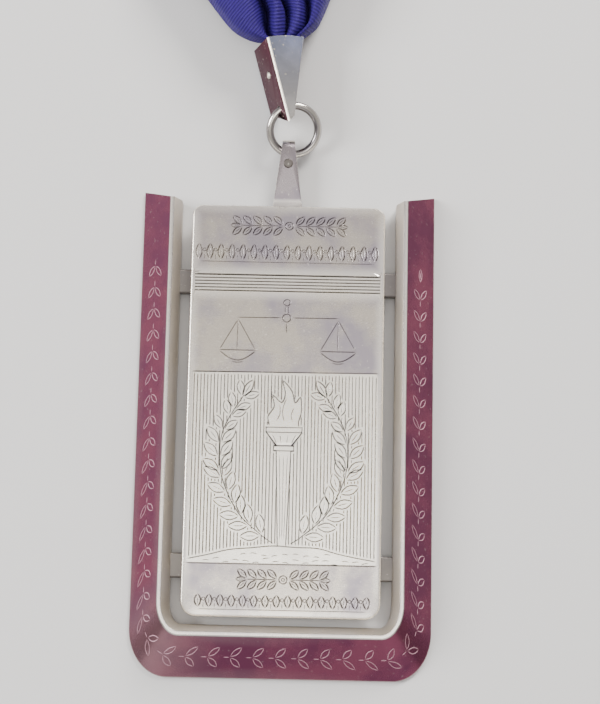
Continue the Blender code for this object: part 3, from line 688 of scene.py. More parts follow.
def balance(cuts):
    """A plain pair of scales."""
    y = BEAM_HEIGHT
    cuts.cut([(-9.3, y), (-0.9, y + 0.05)], 0.8, 0.8, 0.8)
    cuts.cut([(0.9, y + 0.05), (9.8, y + 0.1)], 0.8, 0.8, 0.8)
    ring(cuts, (0.0, y), 0.75, 0.8, 14)
    ring(cuts, (0.0, y + 2.9), 0.6, 0.8, 12)
    for x in (-0.32, 0.32):
        cuts.cut([(x, y + 0.75), (x * 0.8, y + 2.3)], 0.7, 0.7, 0.4)
    cuts.cut([(0, y - 0.8), (0, y - 3.0)], 0.8, 0.8, 1.2)
    for x in (-8.97, 9.6):
        rim = y - 6.15
        for dx in (-3.3, -0.1, 3.3):
            cuts.cut([(x, y - 0.35), (x + dx, rim + 0.05)], 0.6, 0.6, 0.6)
        cuts.cut([(x - 3.5, rim), (x + 3.5, rim)], 0.8, 0.8, 0.6)
        cuts.cut(bowed((x - 3.4, rim - 0.1), (x + 3.4, rim - 0.1), -1.8, 12), 0.9, 0.9, 0.6)
        cuts.cut(bowed((x - 1.2, rim - 2.15), (x + 1.2, rim - 2.15), -0.15, 4), 0.7, 0.7, 0.5)


def torch(cuts):
    """An upright torch with a flame, a plain mound under it, and its mask for the hatching."""
    low, bowl = FIELD_LOW + 3.2, FIELD_LOW + 20.6
    foot, neck, rim, lip = 0.75, 1.35, 3.3, 2.9
    left = [(-foot, low), (-neck, bowl), (-neck - 0.5, bowl), (-neck - 0.5, bowl + 0.9), (-neck, bowl + 0.9),
            (-rim, bowl + 3.4), (-rim, bowl + 4.3), (-lip, bowl + 4.3)]
    tongues = [(-lip + 0.2, 4.5), (-3.0, 6.3), (-1.9, 8.2), (-2.2, 10.2), (-0.6, 8.9), (0.1, 10.6),
               (-0.4, 12.9), (1.3, 11.0), (1.9, 8.9), (2.9, 9.9), (3.1, 7.2), (2.6, 5.4), (lip - 0.2, 4.5)]
    flame = smooth_path([(x, bowl + y) for x, y in tongues], 4)
    right = [(-x, y) for x, y in reversed(left)]
    for side in (left, right):
        cuts.cut(side, 0.9, 0.9, 0.4)
    cuts.cut(flame, 0.9, 0.9, 0.5)
    licks = ((-1.6, 5.4, -1.0, 8.6, -0.5), (0.0, 5.2, 0.5, 9.9, 0.6), (1.5, 5.3, 1.8, 8.0, 0.4))
    for x0, y0, x1, y1, bow in licks:
        cuts.cut(bowed((x0, bowl + y0), (x1, bowl + y1), bow), 0.6, 0.6, 0.8)
    for y, half in ((bowl, neck + 0.5), (bowl + 0.9, neck + 0.5), (bowl + 3.4, rim), (bowl + 4.3, rim)):
        cuts.cut([(-half, y), (half, y)], 0.7, 0.7, 0.2)
    for x in (-0.45, 0.0, 0.45):
        cuts.cut([(x * 0.8, low + 1.0), (x * 1.6, bowl - 0.6)], 0.5, 0.5, 1.0)
    for x in (-1.7, -0.6, 0.6, 1.7):
        cuts.cut([(x * 0.75, bowl + 1.2), (x * 1.3, bowl + 3.1)], 0.5, 0.5, 0.5)
    cuts.masks.append([tuple(p) for p in left + flame + right])


def smooth_path(points, steps):
    """A smooth path through points (Catmull-Rom)."""
    p = [Vector(points[0])] + [Vector(q) for q in points] + [Vector(points[-1])]
    found = []
    for i in range(1, len(p) - 2):
        for k in range(steps):
            t = k / steps
            found.append(
                0.5 * (2 * p[i] + (p[i + 1] - p[i - 1]) * t
                       + (2 * p[i - 1] - 5 * p[i] + 4 * p[i + 1] - p[i + 2]) * t * t
                       + (3 * p[i] - p[i - 1] - 3 * p[i + 1] + p[i + 2]) * t**3)
            )
    return found + [p[-2]]


def laurel(cuts, side):
    """One curved laurel branch, with its mask."""
    base = FIELD_LOW + 4.6
    stem = smooth_path([(side * 1.5, base - 0.9), (side * 3.6, base + 0.5), (side * 8.2, base + 4.8),
                        (side * 11.4, base + 12.0), (side * 11.2, base + 19.5), (side * 7.4, base + 26.4)], 6)
    cuts.cut(stem, 0.75, 0.75, 0.8)
    lengths = np.cumsum([0] + [(b - a).length for a, b in zip(stem, stem[1:])])
    pairs, off = 13, 0.4
    for i in range(pairs):
        reach = 2.4 + i * (lengths[-1] - 3.6) / (pairs - 1)
        k = min(int(np.searchsorted(lengths, reach)), len(stem) - 1)
        way = (stem[k] - stem[k - 1]).normalized()
        size = 4.1 if i < 9 else 3.4
        for turn in (-0.72, 0.72):
            heading = math.atan2(way.y, way.x) + turn
            root = stem[k] + Vector((math.cos(heading), math.sin(heading))) * off
            leaf(cuts, root, heading, size - off, size * 0.4, 0.85, mask=True)
    tip = stem[-1]
    way = (stem[-1] - stem[-2]).normalized()
    leaf(cuts, tip - way * 0.6, math.atan2(way.y, way.x), 3.8, 1.4, mask=True)


def mound(cuts):
    """The ground under the torch: an uneven line with short strokes."""
    y = FIELD_LOW
    heights = ((-17.2, 0.7), (-13.5, 1.5), (-9.5, 2.5), (-5.5, 2.9), (-1.5, 3.3), (2.5, 3.1), (6.5, 3.0),
               (10.0, 2.1), (13.5, 1.4), (17.2, 0.8))
    top = smooth_path([(x, y + rise) for x, rise in heights], 4)
    cuts.cut(top, 0.8, 0.8, 0.9)
    cuts.masks.append([(-17.4, y - 1)] + [tuple(p) for p in top] + [(17.4, y - 1)])
    for i in range(17):
        x = -14.4 + i * 1.8
        low = y + (0.5 + 0.35 * math.sin(i * 2.3))
        cuts.cut(bowed((x, low), (x + 1.5, low + 0.25 * math.sin(i * 1.3)), 0.12, 4), 0.55, 0.55, 0.6)
    for i in range(9):
        x = -7.6 + i * 1.9
        low = y + (1.6 + 0.3 * math.sin(i * 1.7))
        cuts.cut(bowed((x, low), (x + 1.3, low + 0.2 * math.cos(i * 2.1)), 0.14, 4), 0.55, 0.55, 0.6)


def hatch(cuts):
    """Upright lines over the field, stopped short of every shape in it."""
    pitch = bpy.context.scene.badge_sizes.hatch_pitch / MM
    clear, shortest, stroke = 0.22, 0.5, (0.8, 0.85, 0.35)
    count = int(FIELD_HALF / pitch)
    for k in range(-count, count + 1):
        x = k * pitch
        gaps = []
        for shape in cuts.masks:
            for probe in (x - clear / 2, x + clear / 2):
                hits = []
                for (x0, y0), (x1, y1) in zip(shape, shape[1:] + shape[:1]):
                    if (x0 > probe) != (x1 > probe):
                        hits.append(y0 + (y1 - y0) * (probe - x0) / (x1 - x0))
                hits.sort()
                gaps += [(a - clear, b + clear) for a, b in zip(hits[::2], hits[1::2])]
        start = FIELD_LOW + 0.3
        stop = FIELD_HIGH - 0.35 - 0.12 * math.sin(k * 1.9)
        for low, high in sorted(gaps):
            if low > start + shortest:
                cuts.cut([(x, start), (x, min(low, stop))], *stroke)
            start = max(start, high)
            if start > stop:
                break
        if stop > start + shortest:
            cuts.cut([(x, start), (x, stop)], *stroke)


def plate_outline(inset, steps=9):
    """The plate's outline in plan, x and height above its foot."""
    half = PLATE_HIGH.x - inset
    top = PLATE_HIGH.y - FOOT - inset
    low_corner, top_corner = (c - inset for c in PLATE_CORNERS)
    found = []
    for x, y, radius, start in (
        (-half + low_corner, inset + low_corner, low_corner, 180),
        (half - low_corner, inset + low_corner, low_corner, 270),
        (half - top_corner, top - top_corner, top_corner, 0),
        (-half + top_corner, top - top_corner, top_corner, 90),
    ):
        found += arc((x, y), (radius, radius), start, start + 90, steps)
    return found


def band_outline(inset):
    """The sunk band, which widens round the two panels' corners at both edges of the plate."""
    half = PLATE_HIGH.x - EDGE_ROUNDING - 0.12 - inset
    low, high = BAND_LOW + inset, BAND_HIGH - inset
    right_high = arc((half - 1.0, high + 1.0), (1.0, 1.0), 270, 360, 5)
    right_low = arc((half - 1.3, low - 2.3), (1.3, 2.3), 0, 90, 6)
    right = [*right_high, *right_low]
    left = [(-x, y) for x, y in reversed(right)]
    return right + left


class BADGE_OT_plate(bpy.types.Operator):
    """Build the engraved plate"""

    bl_idname = "badge.plate"
    bl_label = "Engraved Plate"

    def execute(self, context):
        cuts = Engraving(plate_outline(EDGE_ROUNDING))
        self.engrave(cuts)
        points, faces, depth = cuts.surface()
        in_band = inside(points, band_outline(0.05))
        level = depth + in_band * BAND_SUNK
        rims, sides = self.edge()
        start = len(rims)
        verts = rims + [(x, y, PLATE_HIGH.z - d) for (x, y), d in zip(points, level)]
        across, up = points.T
        in_field = (np.abs(across) < FIELD_HALF - FIELD_EASE) & (up > FIELD_LOW) & (up < FIELD_HIGH)
        # How much tarnish the cuts hold on the band, in the field and in the panels
        stain = np.where(in_band, 0.85, np.where(in_field, 0.9, 0.3))
        groove = [0.0] * start + list(np.clip(depth / 0.1, 0, 1) * stain)
        # The field between its cuts, the band's ridges and its rims are painted bright as highlights
        ridge = in_band & (level - BAND_SUNK < 0.02)
        rim = inside(points, band_outline(-0.01)) & ~inside(points, band_outline(0.01))
        wear = [0.0] * start + list(in_field * 0.95 * (level < 0.01) + ridge * 0.7 + rim * 0.9)
        # The three rings in the middle of the rounded edge are rubbed bright and painted as a highlight
        each = start // (EDGE_STEPS + 3)
        wear[3 * each : 6 * each] = [1.0] * (3 * each)
        make_piece(
            "engraved_plate",
            [(x, y + FOOT, z) for x, y, z in verts],
            sides + [tuple(start + i for i in f) for f in faces],
            ["plate_silver"],
            "centre_plate",
            20,
            {"groove": groove, "wear": wear},
        )
        return {"FINISHED"}

    def engrave(self, cuts):
        """All the cuts in the plate's face, and the sunk band's edges and ridges."""
        for row, place in enumerate(ORNAMENT_ROWS):
            (leaf_garland, leaf_and_dot)[row % 2](cuts, *place)
        balance(cuts)
        mound(cuts)
        torch(cuts)
        for side in (-1, 1):
            laurel(cuts, side)
        hatch(cuts)
        cuts.cut([(-FIELD_HALF, FIELD_HIGH - 0.1), (FIELD_HALF, FIELD_HIGH + 0.1)], 0.9, 0.9, 0.6)
        cuts.cut([(-FIELD_HALF, FIELD_LOW), (FIELD_HALF, FIELD_LOW)], 0.9, 0.9, 0.6)
        cuts.line(band_outline(0), True)
        cuts.line(band_outline(BAND_STEP), True)
        for y in (BAND_LOW - BAND_CREASE, BAND_HIGH + BAND_CREASE):
            cuts.line([(2.0 - PLATE_HIGH.x, y), (PLATE_HIGH.x - 2.0, y)])
        half = PLATE_HIGH.x - EDGE_ROUNDING - 0.35
        for k in range(BAND_RIDGES + 1):
            y = (BAND_LOW + BAND_HIGH) / 2 + (k - BAND_RIDGES / 2) * BAND_RIDGE_PITCH
            cuts.cut([(-half, y), (half, y)], 1.05, 1.0, 0)

    def edge(self):
        """The plate's back, its sides and its rounded edge, as rings of points and their faces."""
        face, back = PLATE_HIGH.z, PLATE_LOW.z
        levels = [(BACK_CHAMFER, back), (0, back + BACK_CHAMFER)]
        for step in range(EDGE_STEPS + 1):
            turn = math.pi / 2 * step / EDGE_STEPS
            levels.append((EDGE_ROUNDING * (1 - math.cos(turn)), face - EDGE_ROUNDING * (1 - math.sin(turn))))
        rings = [[(x, y, z) for x, y in plate_outline(inset)] for inset, z in levels]
        count = len(rings[0])
        return [p for rim in rings for p in rim], [tuple(range(count))[::-1], *quads(len(rings), count)]


def u_rail(half, foot, corner, top, height):
    """One edge line of the surround, from the left arm's end round the foot to the right arm's end."""
    left = arc((-half + corner[0], foot + corner[1]), corner, 180, 270, CORNER_STEPS)
    right = arc((half - corner[0], foot + corner[1]), corner, 270, 360, CORNER_STEPS)
    return [Vector((x, y, height)) for x, y in [(-half, top), *left, *right, (half, top)]]


def bevel_rail(share):
    """A line on the outer bevel, from its lip (0) to the crest (1)."""
    corner = tuple(a + (b - a) * share for a, b in zip(EDGE_CORNER, CREST_CORNER))
    return u_rail(
        HALF_OUTER - SIDE_BEVEL * share,
        SURROUND_FOOT + FOOT_BEVEL * share,
        corner,
        SURROUND_TOP - ARM_END_DROP * share,
        EDGE_LIP + (SURROUND_DEPTH - EDGE_LIP) * share,
    )


def inner_rail(step, height, back=0.0):
    """A line inside the crest: a step of 0 is the crest's inner edge and 1 the foot of the leaning wall."""
    inset = CREST + INNER_LEAN * step + back
    corner = tuple(c - inset for c in CREST_CORNER)
    return u_rail(
        HALF_OUTER - SIDE_BEVEL - inset,
        SURROUND_FOOT + FOOT_BEVEL + inset,
        corner,
        SURROUND_TOP - ARM_END_DROP,
        height,
    )


class BADGE_OT_surround(bpy.types.Operator):
    """Build the bevelled surround with its engraved leaf chain and its two cross bars"""

    bl_idname = "badge.surround"
    bl_label = "Engraved Surround"

    def execute(self, context):
        outer, crest = bevel_rail(0.02), bevel_rail(0.965)
        spans = [0.0]
        for a, b in zip(bevel_rail(0.5), bevel_rail(0.5)[1:]):
            spans.append(spans[-1] + (b - a).length)
        wide = (crest[0] - outer[0]).length
        cuts = Engraving([(s, 0.0) for s in spans] + [(s, wide) for s in reversed(spans)])
        for s in spans[1:-1]:
            cuts.line([(s, 0.0), (s, wide)])
        self.leaf_chain(cuts, spans[-1], wide)
        plan, faces, depth = cuts.surface()
        verts = [self.on_bevel(outer, crest, spans, wide, s, t, d) for (s, t), d in zip(plan, depth)]
        kinds = [3 if depth[list(face)].max() > 0.01 else 1 for face in faces]
        corner = spans[min(range(len(spans)), key=lambda i: outer[i].x + outer[i].y)]
        # A painted highlight round the bevel's lower left corner
        wear = [self.corner_highlight(s, corner) for s, _ in plan]
        back = BACK_CHAMFER
        low_corner = tuple(c - back for c in EDGE_CORNER)
        rails = [
            u_rail(HALF_OUTER - back, SURROUND_FOOT + back, low_corner, SURROUND_TOP - 0.1, 0.0),
            u_rail(HALF_OUTER, SURROUND_FOOT, EDGE_CORNER, SURROUND_TOP, back),
            u_rail(HALF_OUTER, SURROUND_FOOT, EDGE_CORNER, SURROUND_TOP, EDGE_LIP - 0.06),
            outer,
            crest,
            bevel_rail(1.0),
            inner_rail(-0.02, SURROUND_DEPTH),
            inner_rail(0.06, SURROUND_DEPTH - 0.12),
            inner_rail(1.0, LEAN_FOOT),
            inner_rail(1.0, back),
            inner_rail(1.0, 0.0, -back),
        ]
        count, sections = len(rails), list(zip(*rails))
        start = len(verts)
        verts += [p for section in sections for p in section]
        # Each rail's painted light, from the outer foot over the lip, the bevel and the crest to the inner
        # foot:
        # painted highlights on the lip, the corner and the crest, and painted light on the inner wall
        for s in spans:
            glow_here = self.corner_highlight(s, corner)
            wear += [0.0, 0.3, 0.35, glow_here, glow_here, 0.7, 0.3, 0.2, 0.0, 0.0, 0.0]
        # Strip 3 is the engraved bevel itself, which stands already, and strips 7 and 8 are the inner wall
        for i, face in enumerate(quads(len(sections), count, start)):
            k = i % count
            if k != 3:
                faces.append(face)
                kinds.append(1 if k < 3 else 4 if k in (7, 8) else 0)
        last = start + (len(sections) - 1) * count
        faces += [tuple(range(start, start + count)), tuple(range(last, last + count))[::-1]]
        kinds += [0, 0]
        for place in BAR_PLACES:
            self.cross_bar(verts, faces, kinds, place)
        wear += [BAR_WEAR] * (len(verts) - len(wear))
        finishes = ["satin_silver", "bevel_silver", "dull_silver", "cut_silver", "wall_silver"]
        values = {"wear": wear}
        make_piece("engraved_surround", verts, faces, finishes, "surround", 11, values, kinds)
        return {"FINISHED"}

    def corner_highlight(self, s, corner):
        """How bright the painted highlight on the bevel is at a place along it: only round its lower left
        corner.
        """
        return CORNER_GLOW_LEVEL * max(1 - abs(s - corner) / CORNER_GLOW_REACH, 0.0)

    def on_bevel(self, outer, crest, spans, wide, s, t, depth):
        """The point on the bevel for a place along and across it, sunk by a depth."""
        i = min(max(int(np.searchsorted(spans, s)) - 1, 0), len(spans) - 2)
        share = (s - spans[i]) / (spans[i + 1] - spans[i])
        low = outer[i].lerp(outer[i + 1], share)
        high = crest[i].lerp(crest[i + 1], share)
        normal = (high - low).cross(outer[i + 1] - outer[i]).normalized()
        if normal.z < 0:
            normal = -normal
        return low.lerp(high, t / wide) - normal * depth

    def leaf_chain(self, cuts, total, wide):
        """Pairs of thin leaves, each on a short stem, from one arm round the foot to the other."""
        middle = wide * 0.5
        end = total - CHAIN_STOP
        step = (end - CHAIN_START) / CHAIN_PAIRS
        for i in range(CHAIN_PAIRS):
            s = CHAIN_START + step * i + 0.3
            cuts.cut([(s - 1.3, middle), (s - 0.15, middle)], 0.42, 0.5, 0.5)
            for up in (-1, 1):
                leaf(cuts, (s, middle + up * 0.12), up * math.radians(42), 2.6, 0.95, 0.44, vein=False)
        leaf(cuts, (end - 0.4, middle), 0.0, 2.6, 0.9, 0.44)

    def cross_bar(self, verts, faces, kinds, place):
        """One bar, eased along its edges, let into both inner walls."""
        reach = HALF_OUTER - SIDE_BEVEL - CREST - INNER_LEAN + BAR_LET_IN
        half, top, ease, nook = BAR_HALF, BAR_TOP, BAR_EASE, BAR_EASE * 0.3
        right = [(half, BAR_LOW), (half, top - ease), (half - nook, top - nook), (half - ease, top)]
        section = [(-half, BAR_LOW), *right, *((-y, z) for y, z in reversed(right[1:]))]
        start, count = len(verts), len(section)
        for x in (-reach, reach):
            verts += [Vector((x, place + y, z)) for y, z in section]
        ends = [tuple(range(start, start + count))[::-1], tuple(range(start + count, start + 2 * count))]
        faces += quads(2, count, start) + ends
        kinds += [2] * (count + 2)


def softened(node, name, width, finishes, sharp=30, segments=3, shape_more=None):
    """A copy of a hard piece's solid with its edges rounded, worn bright and painted as highlights."""
    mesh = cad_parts[node].data.copy()
    mesh.name = name
    mesh.materials.clear()
    for used in finishes:
        mesh.materials.append(finish(used))
    shape = bmesh.new()
    shape.from_mesh(mesh)
    bmesh.ops.remove_doubles(shape, verts=shape.verts, dist=JOIN_REACH * MM)
    bmesh.ops.dissolve_limit(shape, angle_limit=math.radians(0.5), verts=shape.verts, edges=shape.edges)
    for face in shape.faces:
        face.material_index = 0
    if shape_more:
        shape_more(shape)
    shape.to_mesh(mesh)
    shape.free()
    made = linked(name, mesh)
    if width:
        ease = made.modifiers.new("worn_edges", "BEVEL")
        ease.width = width * MM
        ease.segments = segments
        ease.limit_method = "ANGLE"
        ease.angle_limit = math.radians(sharp)
        ease.material = len(finishes) - 1
        ease.harden_normals = False
    mesh.shade_smooth()
    mesh.set_sharp_from_angle(angle=math.radians(sharp + 10))
    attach(made, "root")
    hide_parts(node)


class BADGE_OT_tongue(bpy.types.Operator):
    """Build the folded tongue and its rivet"""

    bl_idname = "badge.tongue"
    bl_label = "Tongue and Rivet"

    def execute(self, context):
        finishes = ["tongue_silver", "scuffed_highlight_silver"]
        softened("hanger_tongue", "folded_tongue", 0.16, finishes, 55, 2, self.solder_and_painted_top)
        softened("tongue_rivet", "rivet", 0.0, ["dull_silver"], 40)
        return {"FINISHED"}

    def solder_and_painted_top(self, shape):
        """A pale wash of solder over the tongue's foot, and a painted highlight on the fold's top that lifts
        its shade.
        """
        low, high = PLATE_HIGH.y + 1.5, PLATE_HIGH.y + 2.0
        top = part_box("hanger_tongue")[1].y / MM
        for level in (low, high):
            everything = [*shape.verts, *shape.edges, *shape.faces]
            bmesh.ops.bisect_plane(shape, geom=everything, plane_co=(0, level * MM, 0), plane_no=(0, 1, 0))
        wear = shape.loops.layers.float.new("wear")
        for face in shape.faces:
            for loop in face.loops:
                y = loop.vert.co.y / MM
                # Pale solder at the foot, and a painted highlight on the fold's top
                loop[wear] = 0.4 if y < low + 0.05 else 0.7 if y > top - 0.9 else 0.0


class BADGE_OT_ring(bpy.types.Operator):
    """Build the round jump ring"""

    bl_idname = "badge.ring"
    bl_label = "Jump Ring"

    def execute(self, context):
        solid = np.array([tuple(v.co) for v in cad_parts["jump_ring"].data.vertices]) / MM
        middle = solid.mean(0)
        _, _, axes = np.linalg.svd(solid - middle, full_matrices=False)
        if axes[2][2] < 0:
            axes[2] = -axes[2]
        points, inner_shade, painted_highlight = [], [], []
        for i in range(RING_STEPS):
            a = 2 * math.pi * i / RING_STEPS
            for k in range(WIRE_SIDES):
                b = 2 * math.pi * k / WIRE_SIDES
                reach = RING_RADIUS + RING_WIRE / 2 * math.cos(b)
                local = np.array((reach * math.cos(a), reach * math.sin(a), RING_WIRE / 2 * math.sin(b)))
                points.append(tuple(middle + local @ axes))
                # The inner side and the underside get painted shade, and the upper side a painted highlight
                inner_shade.append(min(max(0.2 - 0.25 * math.cos(b) - 0.32 * math.sin(b), 0), 0.4))
                painted_highlight.append(0.8 * max(math.sin(b + 0.3), 0) ** 8)
        faces = [tuple(v % len(points) for v in face) for face in quads(RING_STEPS + 1, WIRE_SIDES)]
        # The ring's values: painted shade on the inner side and a painted highlight on top
        finishes, values = ["ring_silver"], {"groove": inner_shade, "wear": painted_highlight}
        make_piece("round_jump_ring", points, faces, finishes, "jump_ring", 60, values)
        return {"FINISHED"}


class BADGE_OT_bail(bpy.types.Operator):
    """Build the wedge bail and its pin"""

    bl_idname = "badge.bail"
    bl_label = "Bail and Pin"

    def execute(self, context):
        finishes = ["polished_silver", "side_silver", "scuffed_highlight_silver"]
        softened("bail", "wedge_bail", 0.18, finishes, 30, 3, self.rounded_corner_painted_light)
        softened("bail_pin", "cross_pin", 0.0, ["scuffed_highlight_silver"], 40)
        return {"FINISHED"}

    def rounded_corner_painted_light(self, shape):
        """Side plates in a darker red silver, a painted reflection of dark red cloth, the front painted
        brighter towards the tip as a highlight, and the front's left corner worn to a broad round that is
        painted bright.
        """
        turn = Euler((0, BAIL_TURN, BAIL_LEAN)).to_matrix()
        front, side = turn @ Vector((0, 0, 1)), turn @ Vector((1, 0, 0))
        wear = shape.loops.layers.float.new("wear")
        for face in shape.faces:
            face.normal_update()
            # The side faces get the darker red silver, a painted reflection of dark red cloth
            if abs(face.normal.dot(side)) > 0.8:
                face.material_index = 1
            for loop in face.loops:
                # The front is painted brighter towards the tip, a painted highlight
                up = (turn.inverted() @ (loop.vert.co / MM - Vector(BAIL_TIP))).y
                loop[wear] = 0.85 * (1 - up / BAIL_LENGTH) * (face.normal.dot(front) > 0.9)
        corner = [
            edge
            for edge in shape.edges
            if len(edge.link_faces) == 2
            and edge.calc_length() > 4 * MM
            and max(face.normal.dot(front) for face in edge.link_faces) > 0.95
            and min(face.normal.dot(side) for face in edge.link_faces) < -0.8
        ]
        wide = BAIL_CORNER * MM
        bmesh.ops.bevel(shape, geom=corner, offset=wide, segments=4, profile=0.5, affect="EDGES", material=2)


def eased(share):
    """0 to 1 with a soft start and end."""
    share = min(max(share, 0), 1)
    return share * share * (3 - 2 * share)


def hermite(start, start_way, end, end_way, share):
    """A point on the smooth curve between two points with given ways out and in."""
    s = share
    return (
        start * (2 * s**3 - 3 * s**2 + 1)
        + start_way * (s**3 - 2 * s**2 + s)
        + end * (3 * s**2 - 2 * s**3)
        + end_way * (s**3 - s**2)
    )


def smooth_column(places, values, at):
    """Values at new places on a smooth curve through given ones, which never swings past them."""
    steps = np.diff(values) / np.diff(places)
    slopes = np.concatenate([steps[:1], np.zeros(len(steps) - 1), steps[-1:]])
    for i in range(1, len(steps)):
        if steps[i - 1] * steps[i] > 0:
            slopes[i] = 2 * steps[i - 1] * steps[i] / (steps[i - 1] + steps[i])
    found = []
    for t in at:
        i = min(max(int(np.searchsorted(places, t)) - 1, 0), len(steps) - 1)
        gap = places[i + 1] - places[i]
        share = (t - places[i]) / gap
        found.append(hermite(values[i], slopes[i] * gap, values[i + 1], slopes[i + 1] * gap, share))
    return np.array(found)


def with_valley(share, even, valley):
    """A thread's share of its strand, once the valley has moved from its even share to another."""
    if share < even:
        return share * valley / even
    return 1 - (1 - share) * (1 - valley) / (1 - even)


class RibbonPlan:
    """The cloth's middle surface: gathered in the bail, fanned out, and folded over at two corners."""

    def __init__(self):
        sizes = bpy.context.scene.badge_sizes
        self.width = sizes.ribbon_width / MM
        self.length = sizes.ribbon_length / MM
        self.cloth = sizes.ribbon_thickness / MM
        # How high the cloth's middle lies at least
        self.ground = self.cloth * 0.7
        turn = Euler((0, BAIL_TURN, BAIL_LEAN)).to_matrix().to_4x4()
        self.bail = Matrix.Translation(BAIL_TIP) @ turn
        self.mouth = self.bail @ Vector((0, BAIL_LENGTH, -BAIL_DEPTH / 2))
        self.lean = Matrix.Rotation(BAIL_LEAN, 3, "Z")
        self.half_mouth = BAIL_MOUTH / 2 - BAIL_SHEET - MOUTH_CLEAR
        self.half_plug = BAIL_DEPTH / 2 - BAIL_SHEET - PLUG_CLEAR
        self.cut = math.pi / 4 + RIBBON_SPREAD / 2
        straight = (self.length / 2 - STRAND_START) / (1 + math.sin(RIBBON_SPREAD))
        self.strand = straight - GATHER_LENGTH
        self.threads = self.smooth_threads()

    def smooth_threads(self):
        """The main lines of thread, filled in smoothly across the strand."""
        rows = np.array(THREADS)
        across = np.linspace(0, 1, THREAD_COUNT)
        columns = [smooth_column(rows[:, 2], rows[:, c], across) for c in (0, 1)]
        return list(zip(*columns, across, smooth_column(rows[:, 2], rows[:, 3], across)))

    def world(self, side, across, along, height):
        """A point from its distance off the loop's axis, along it from the mouth, and its height."""
        flat = self.lean @ Vector((side * across, along, 0))
        return Vector((self.mouth.x + flat.x, self.mouth.y + flat.y, height))

    def shift(self, across):
        """A thread's distance off the middle of the cloth's width."""
        return (0.5 - across) * self.width

    def crease_at(self, across):
        """How far along the strand a thread meets the slanting crease."""
        return GATHER_LENGTH + self.strand - self.shift(across) / math.tan(self.cut)

    def strand_plan(self, across, along):
        """Place in plan of a point of a flat strand, before the fold."""
        shift = self.shift(across)
        x = STRAND_START + along * math.sin(RIBBON_SPREAD) + shift * math.cos(RIBBON_SPREAD)
        return x, along * math.cos(RIBBON_SPREAD) - shift * math.sin(RIBBON_SPREAD)

    def root(self, side, thread, up):
        """A point of the gathered end in the bail."""
        mouth, height = thread[:2]
        narrow = (BAIL_TIP_WIDTH + (BAIL_MOUTH - BAIL_TIP_WIDTH) * up / BAIL_LENGTH) / BAIL_MOUTH
        valley = NEAR_ROWS[0][4] if side < 0 else NEAR_ROWS[0][6]
        inner = MOUTH_JOIN * narrow
        reach = inner + (side * self.half_mouth * narrow - inner) * with_valley(mouth, VALLEY_EVEN, valley)
        depth = -BAIL_DEPTH / 2 + self.half_plug * (1.4 * height - 0.4) * 0.95
        return self.bail @ Vector((reach, up, depth))

    def gather_plan(self, side):
        """Sections of the gather at fine steps: place along it, pleats, inner end, outer end, valley."""
        rows = []
        for along, pleats, (join_x, join_y), *strands in NEAR_ROWS:
            (edge_x, edge_y), valley = strands[:2] if side < 0 else strands[2:]
            ends = [side * join_x, join_y, edge_x, edge_y]
            rows.append([along, pleats, *(end * GATHER_LENGTH for end in ends), valley])
        last = rows[-1]
        fan = LEFT_FAN if side < 0 else RIGHT_FAN
        reach = GATHER_LENGTH * (1 - last[0])
        end_way = Vector((math.sin(RIBBON_SPREAD), math.cos(RIBBON_SPREAD))) * reach
        for along, pleats in FAR_ROWS:
            share = (along - last[0]) / (1 - last[0])
            row = [along, pleats]
            for start, angle, across in ((last[2:4], fan[1], 1), (last[4:6], fan[0], 0)):
                way = Vector((math.sin(angle), math.cos(angle))) * reach
                end = Vector(self.strand_plan(across, GATHER_LENGTH))
                row.extend(hermite(Vector(start), way, end, end_way, share))
            rows.append([*row, last[6] + (1 - VALLEY_ACROSS - last[6]) * eased(share)])
        rows = np.array(rows)
        fine = (np.arange(1, GATHER_ROWS + 1) / GATHER_ROWS) ** 1.8
        return np.stack([fine, *(smooth_column(rows[:, 0], rows[:, c], fine) for c in range(1, 7))], 1)

    def gather(self, side):
        """Rows of points from inside the bail to the flat strand."""
        rows = []
        for up in (BAIL_LENGTH - GATHER_ROOT, BAIL_LENGTH - GATHER_ROOT / 2, BAIL_LENGTH):
            rows.append([self.root(side, thread, up) for thread in self.threads])
        starts = rows[-1]
        for along, pleats, inner_x, inner_y, outer_x, outer_y, valley in self.gather_plan(side):
            inner, outer = Vector((inner_x, inner_y)), Vector((outer_x, outer_y))
            even = VALLEY_EVEN + (1 - VALLEY_ACROSS - VALLEY_EVEN) * along
            row = []
            for (mouth, _, across, rise), start in zip(self.threads, starts):
                place = with_valley(mouth + (1 - across - mouth) * along, even, valley)
                wave = 0.35 * math.sin(along * 40 + across * 9 + side) * pleats * min(along * 12, 1)
                level = start.z + (self.ground - start.z) * eased(along) + PLEAT_HEIGHT * pleats * rise
                height = max(level + wave, self.ground + 0.05 * rise)
                row.append(self.world(side, *inner.lerp(outer, place), height))
            rows.append(row)
        return rows

    def rows(self, side, steps, place):
        """Rows of points, from a function of the step and of a thread's place across the flat ribbon."""
        return [[self.world(side, *place(k, thread[2])) for thread in self.threads] for k in steps]

    def flat_strand(self, side):
        """Rows along the flat strand, up to where the fold begins."""

        def place(k, across):
            bow = math.sin(math.pi * k / (STRAND_ROWS + 1))
            stop = self.crease_at(across) - FOLD_BACK / math.sin(self.cut)
            along = GATHER_LENGTH + (stop - GATHER_LENGTH) * k / STRAND_ROWS
            wave = 0.5 * math.sin(along / 17 + side + across * 2) + 0.2 * math.sin(along / 8.3 + across * 5)
            height = self.ground + (wave + 0.7) * bow + 0.25 * (2 * across - 1) ** 4 * bow
            return (*self.strand_plan(across, along), height)

        return self.rows(side, range(1, STRAND_ROWS + 1), place)

    def fold(self, side):
        """Rows round the slanting crease, from the lower layer to the upper."""
        middle = self.ground + FOLD_RADIUS
        out = Vector((math.sin(self.cut), math.cos(self.cut)))
        crease = Vector((-out.y, out.x))

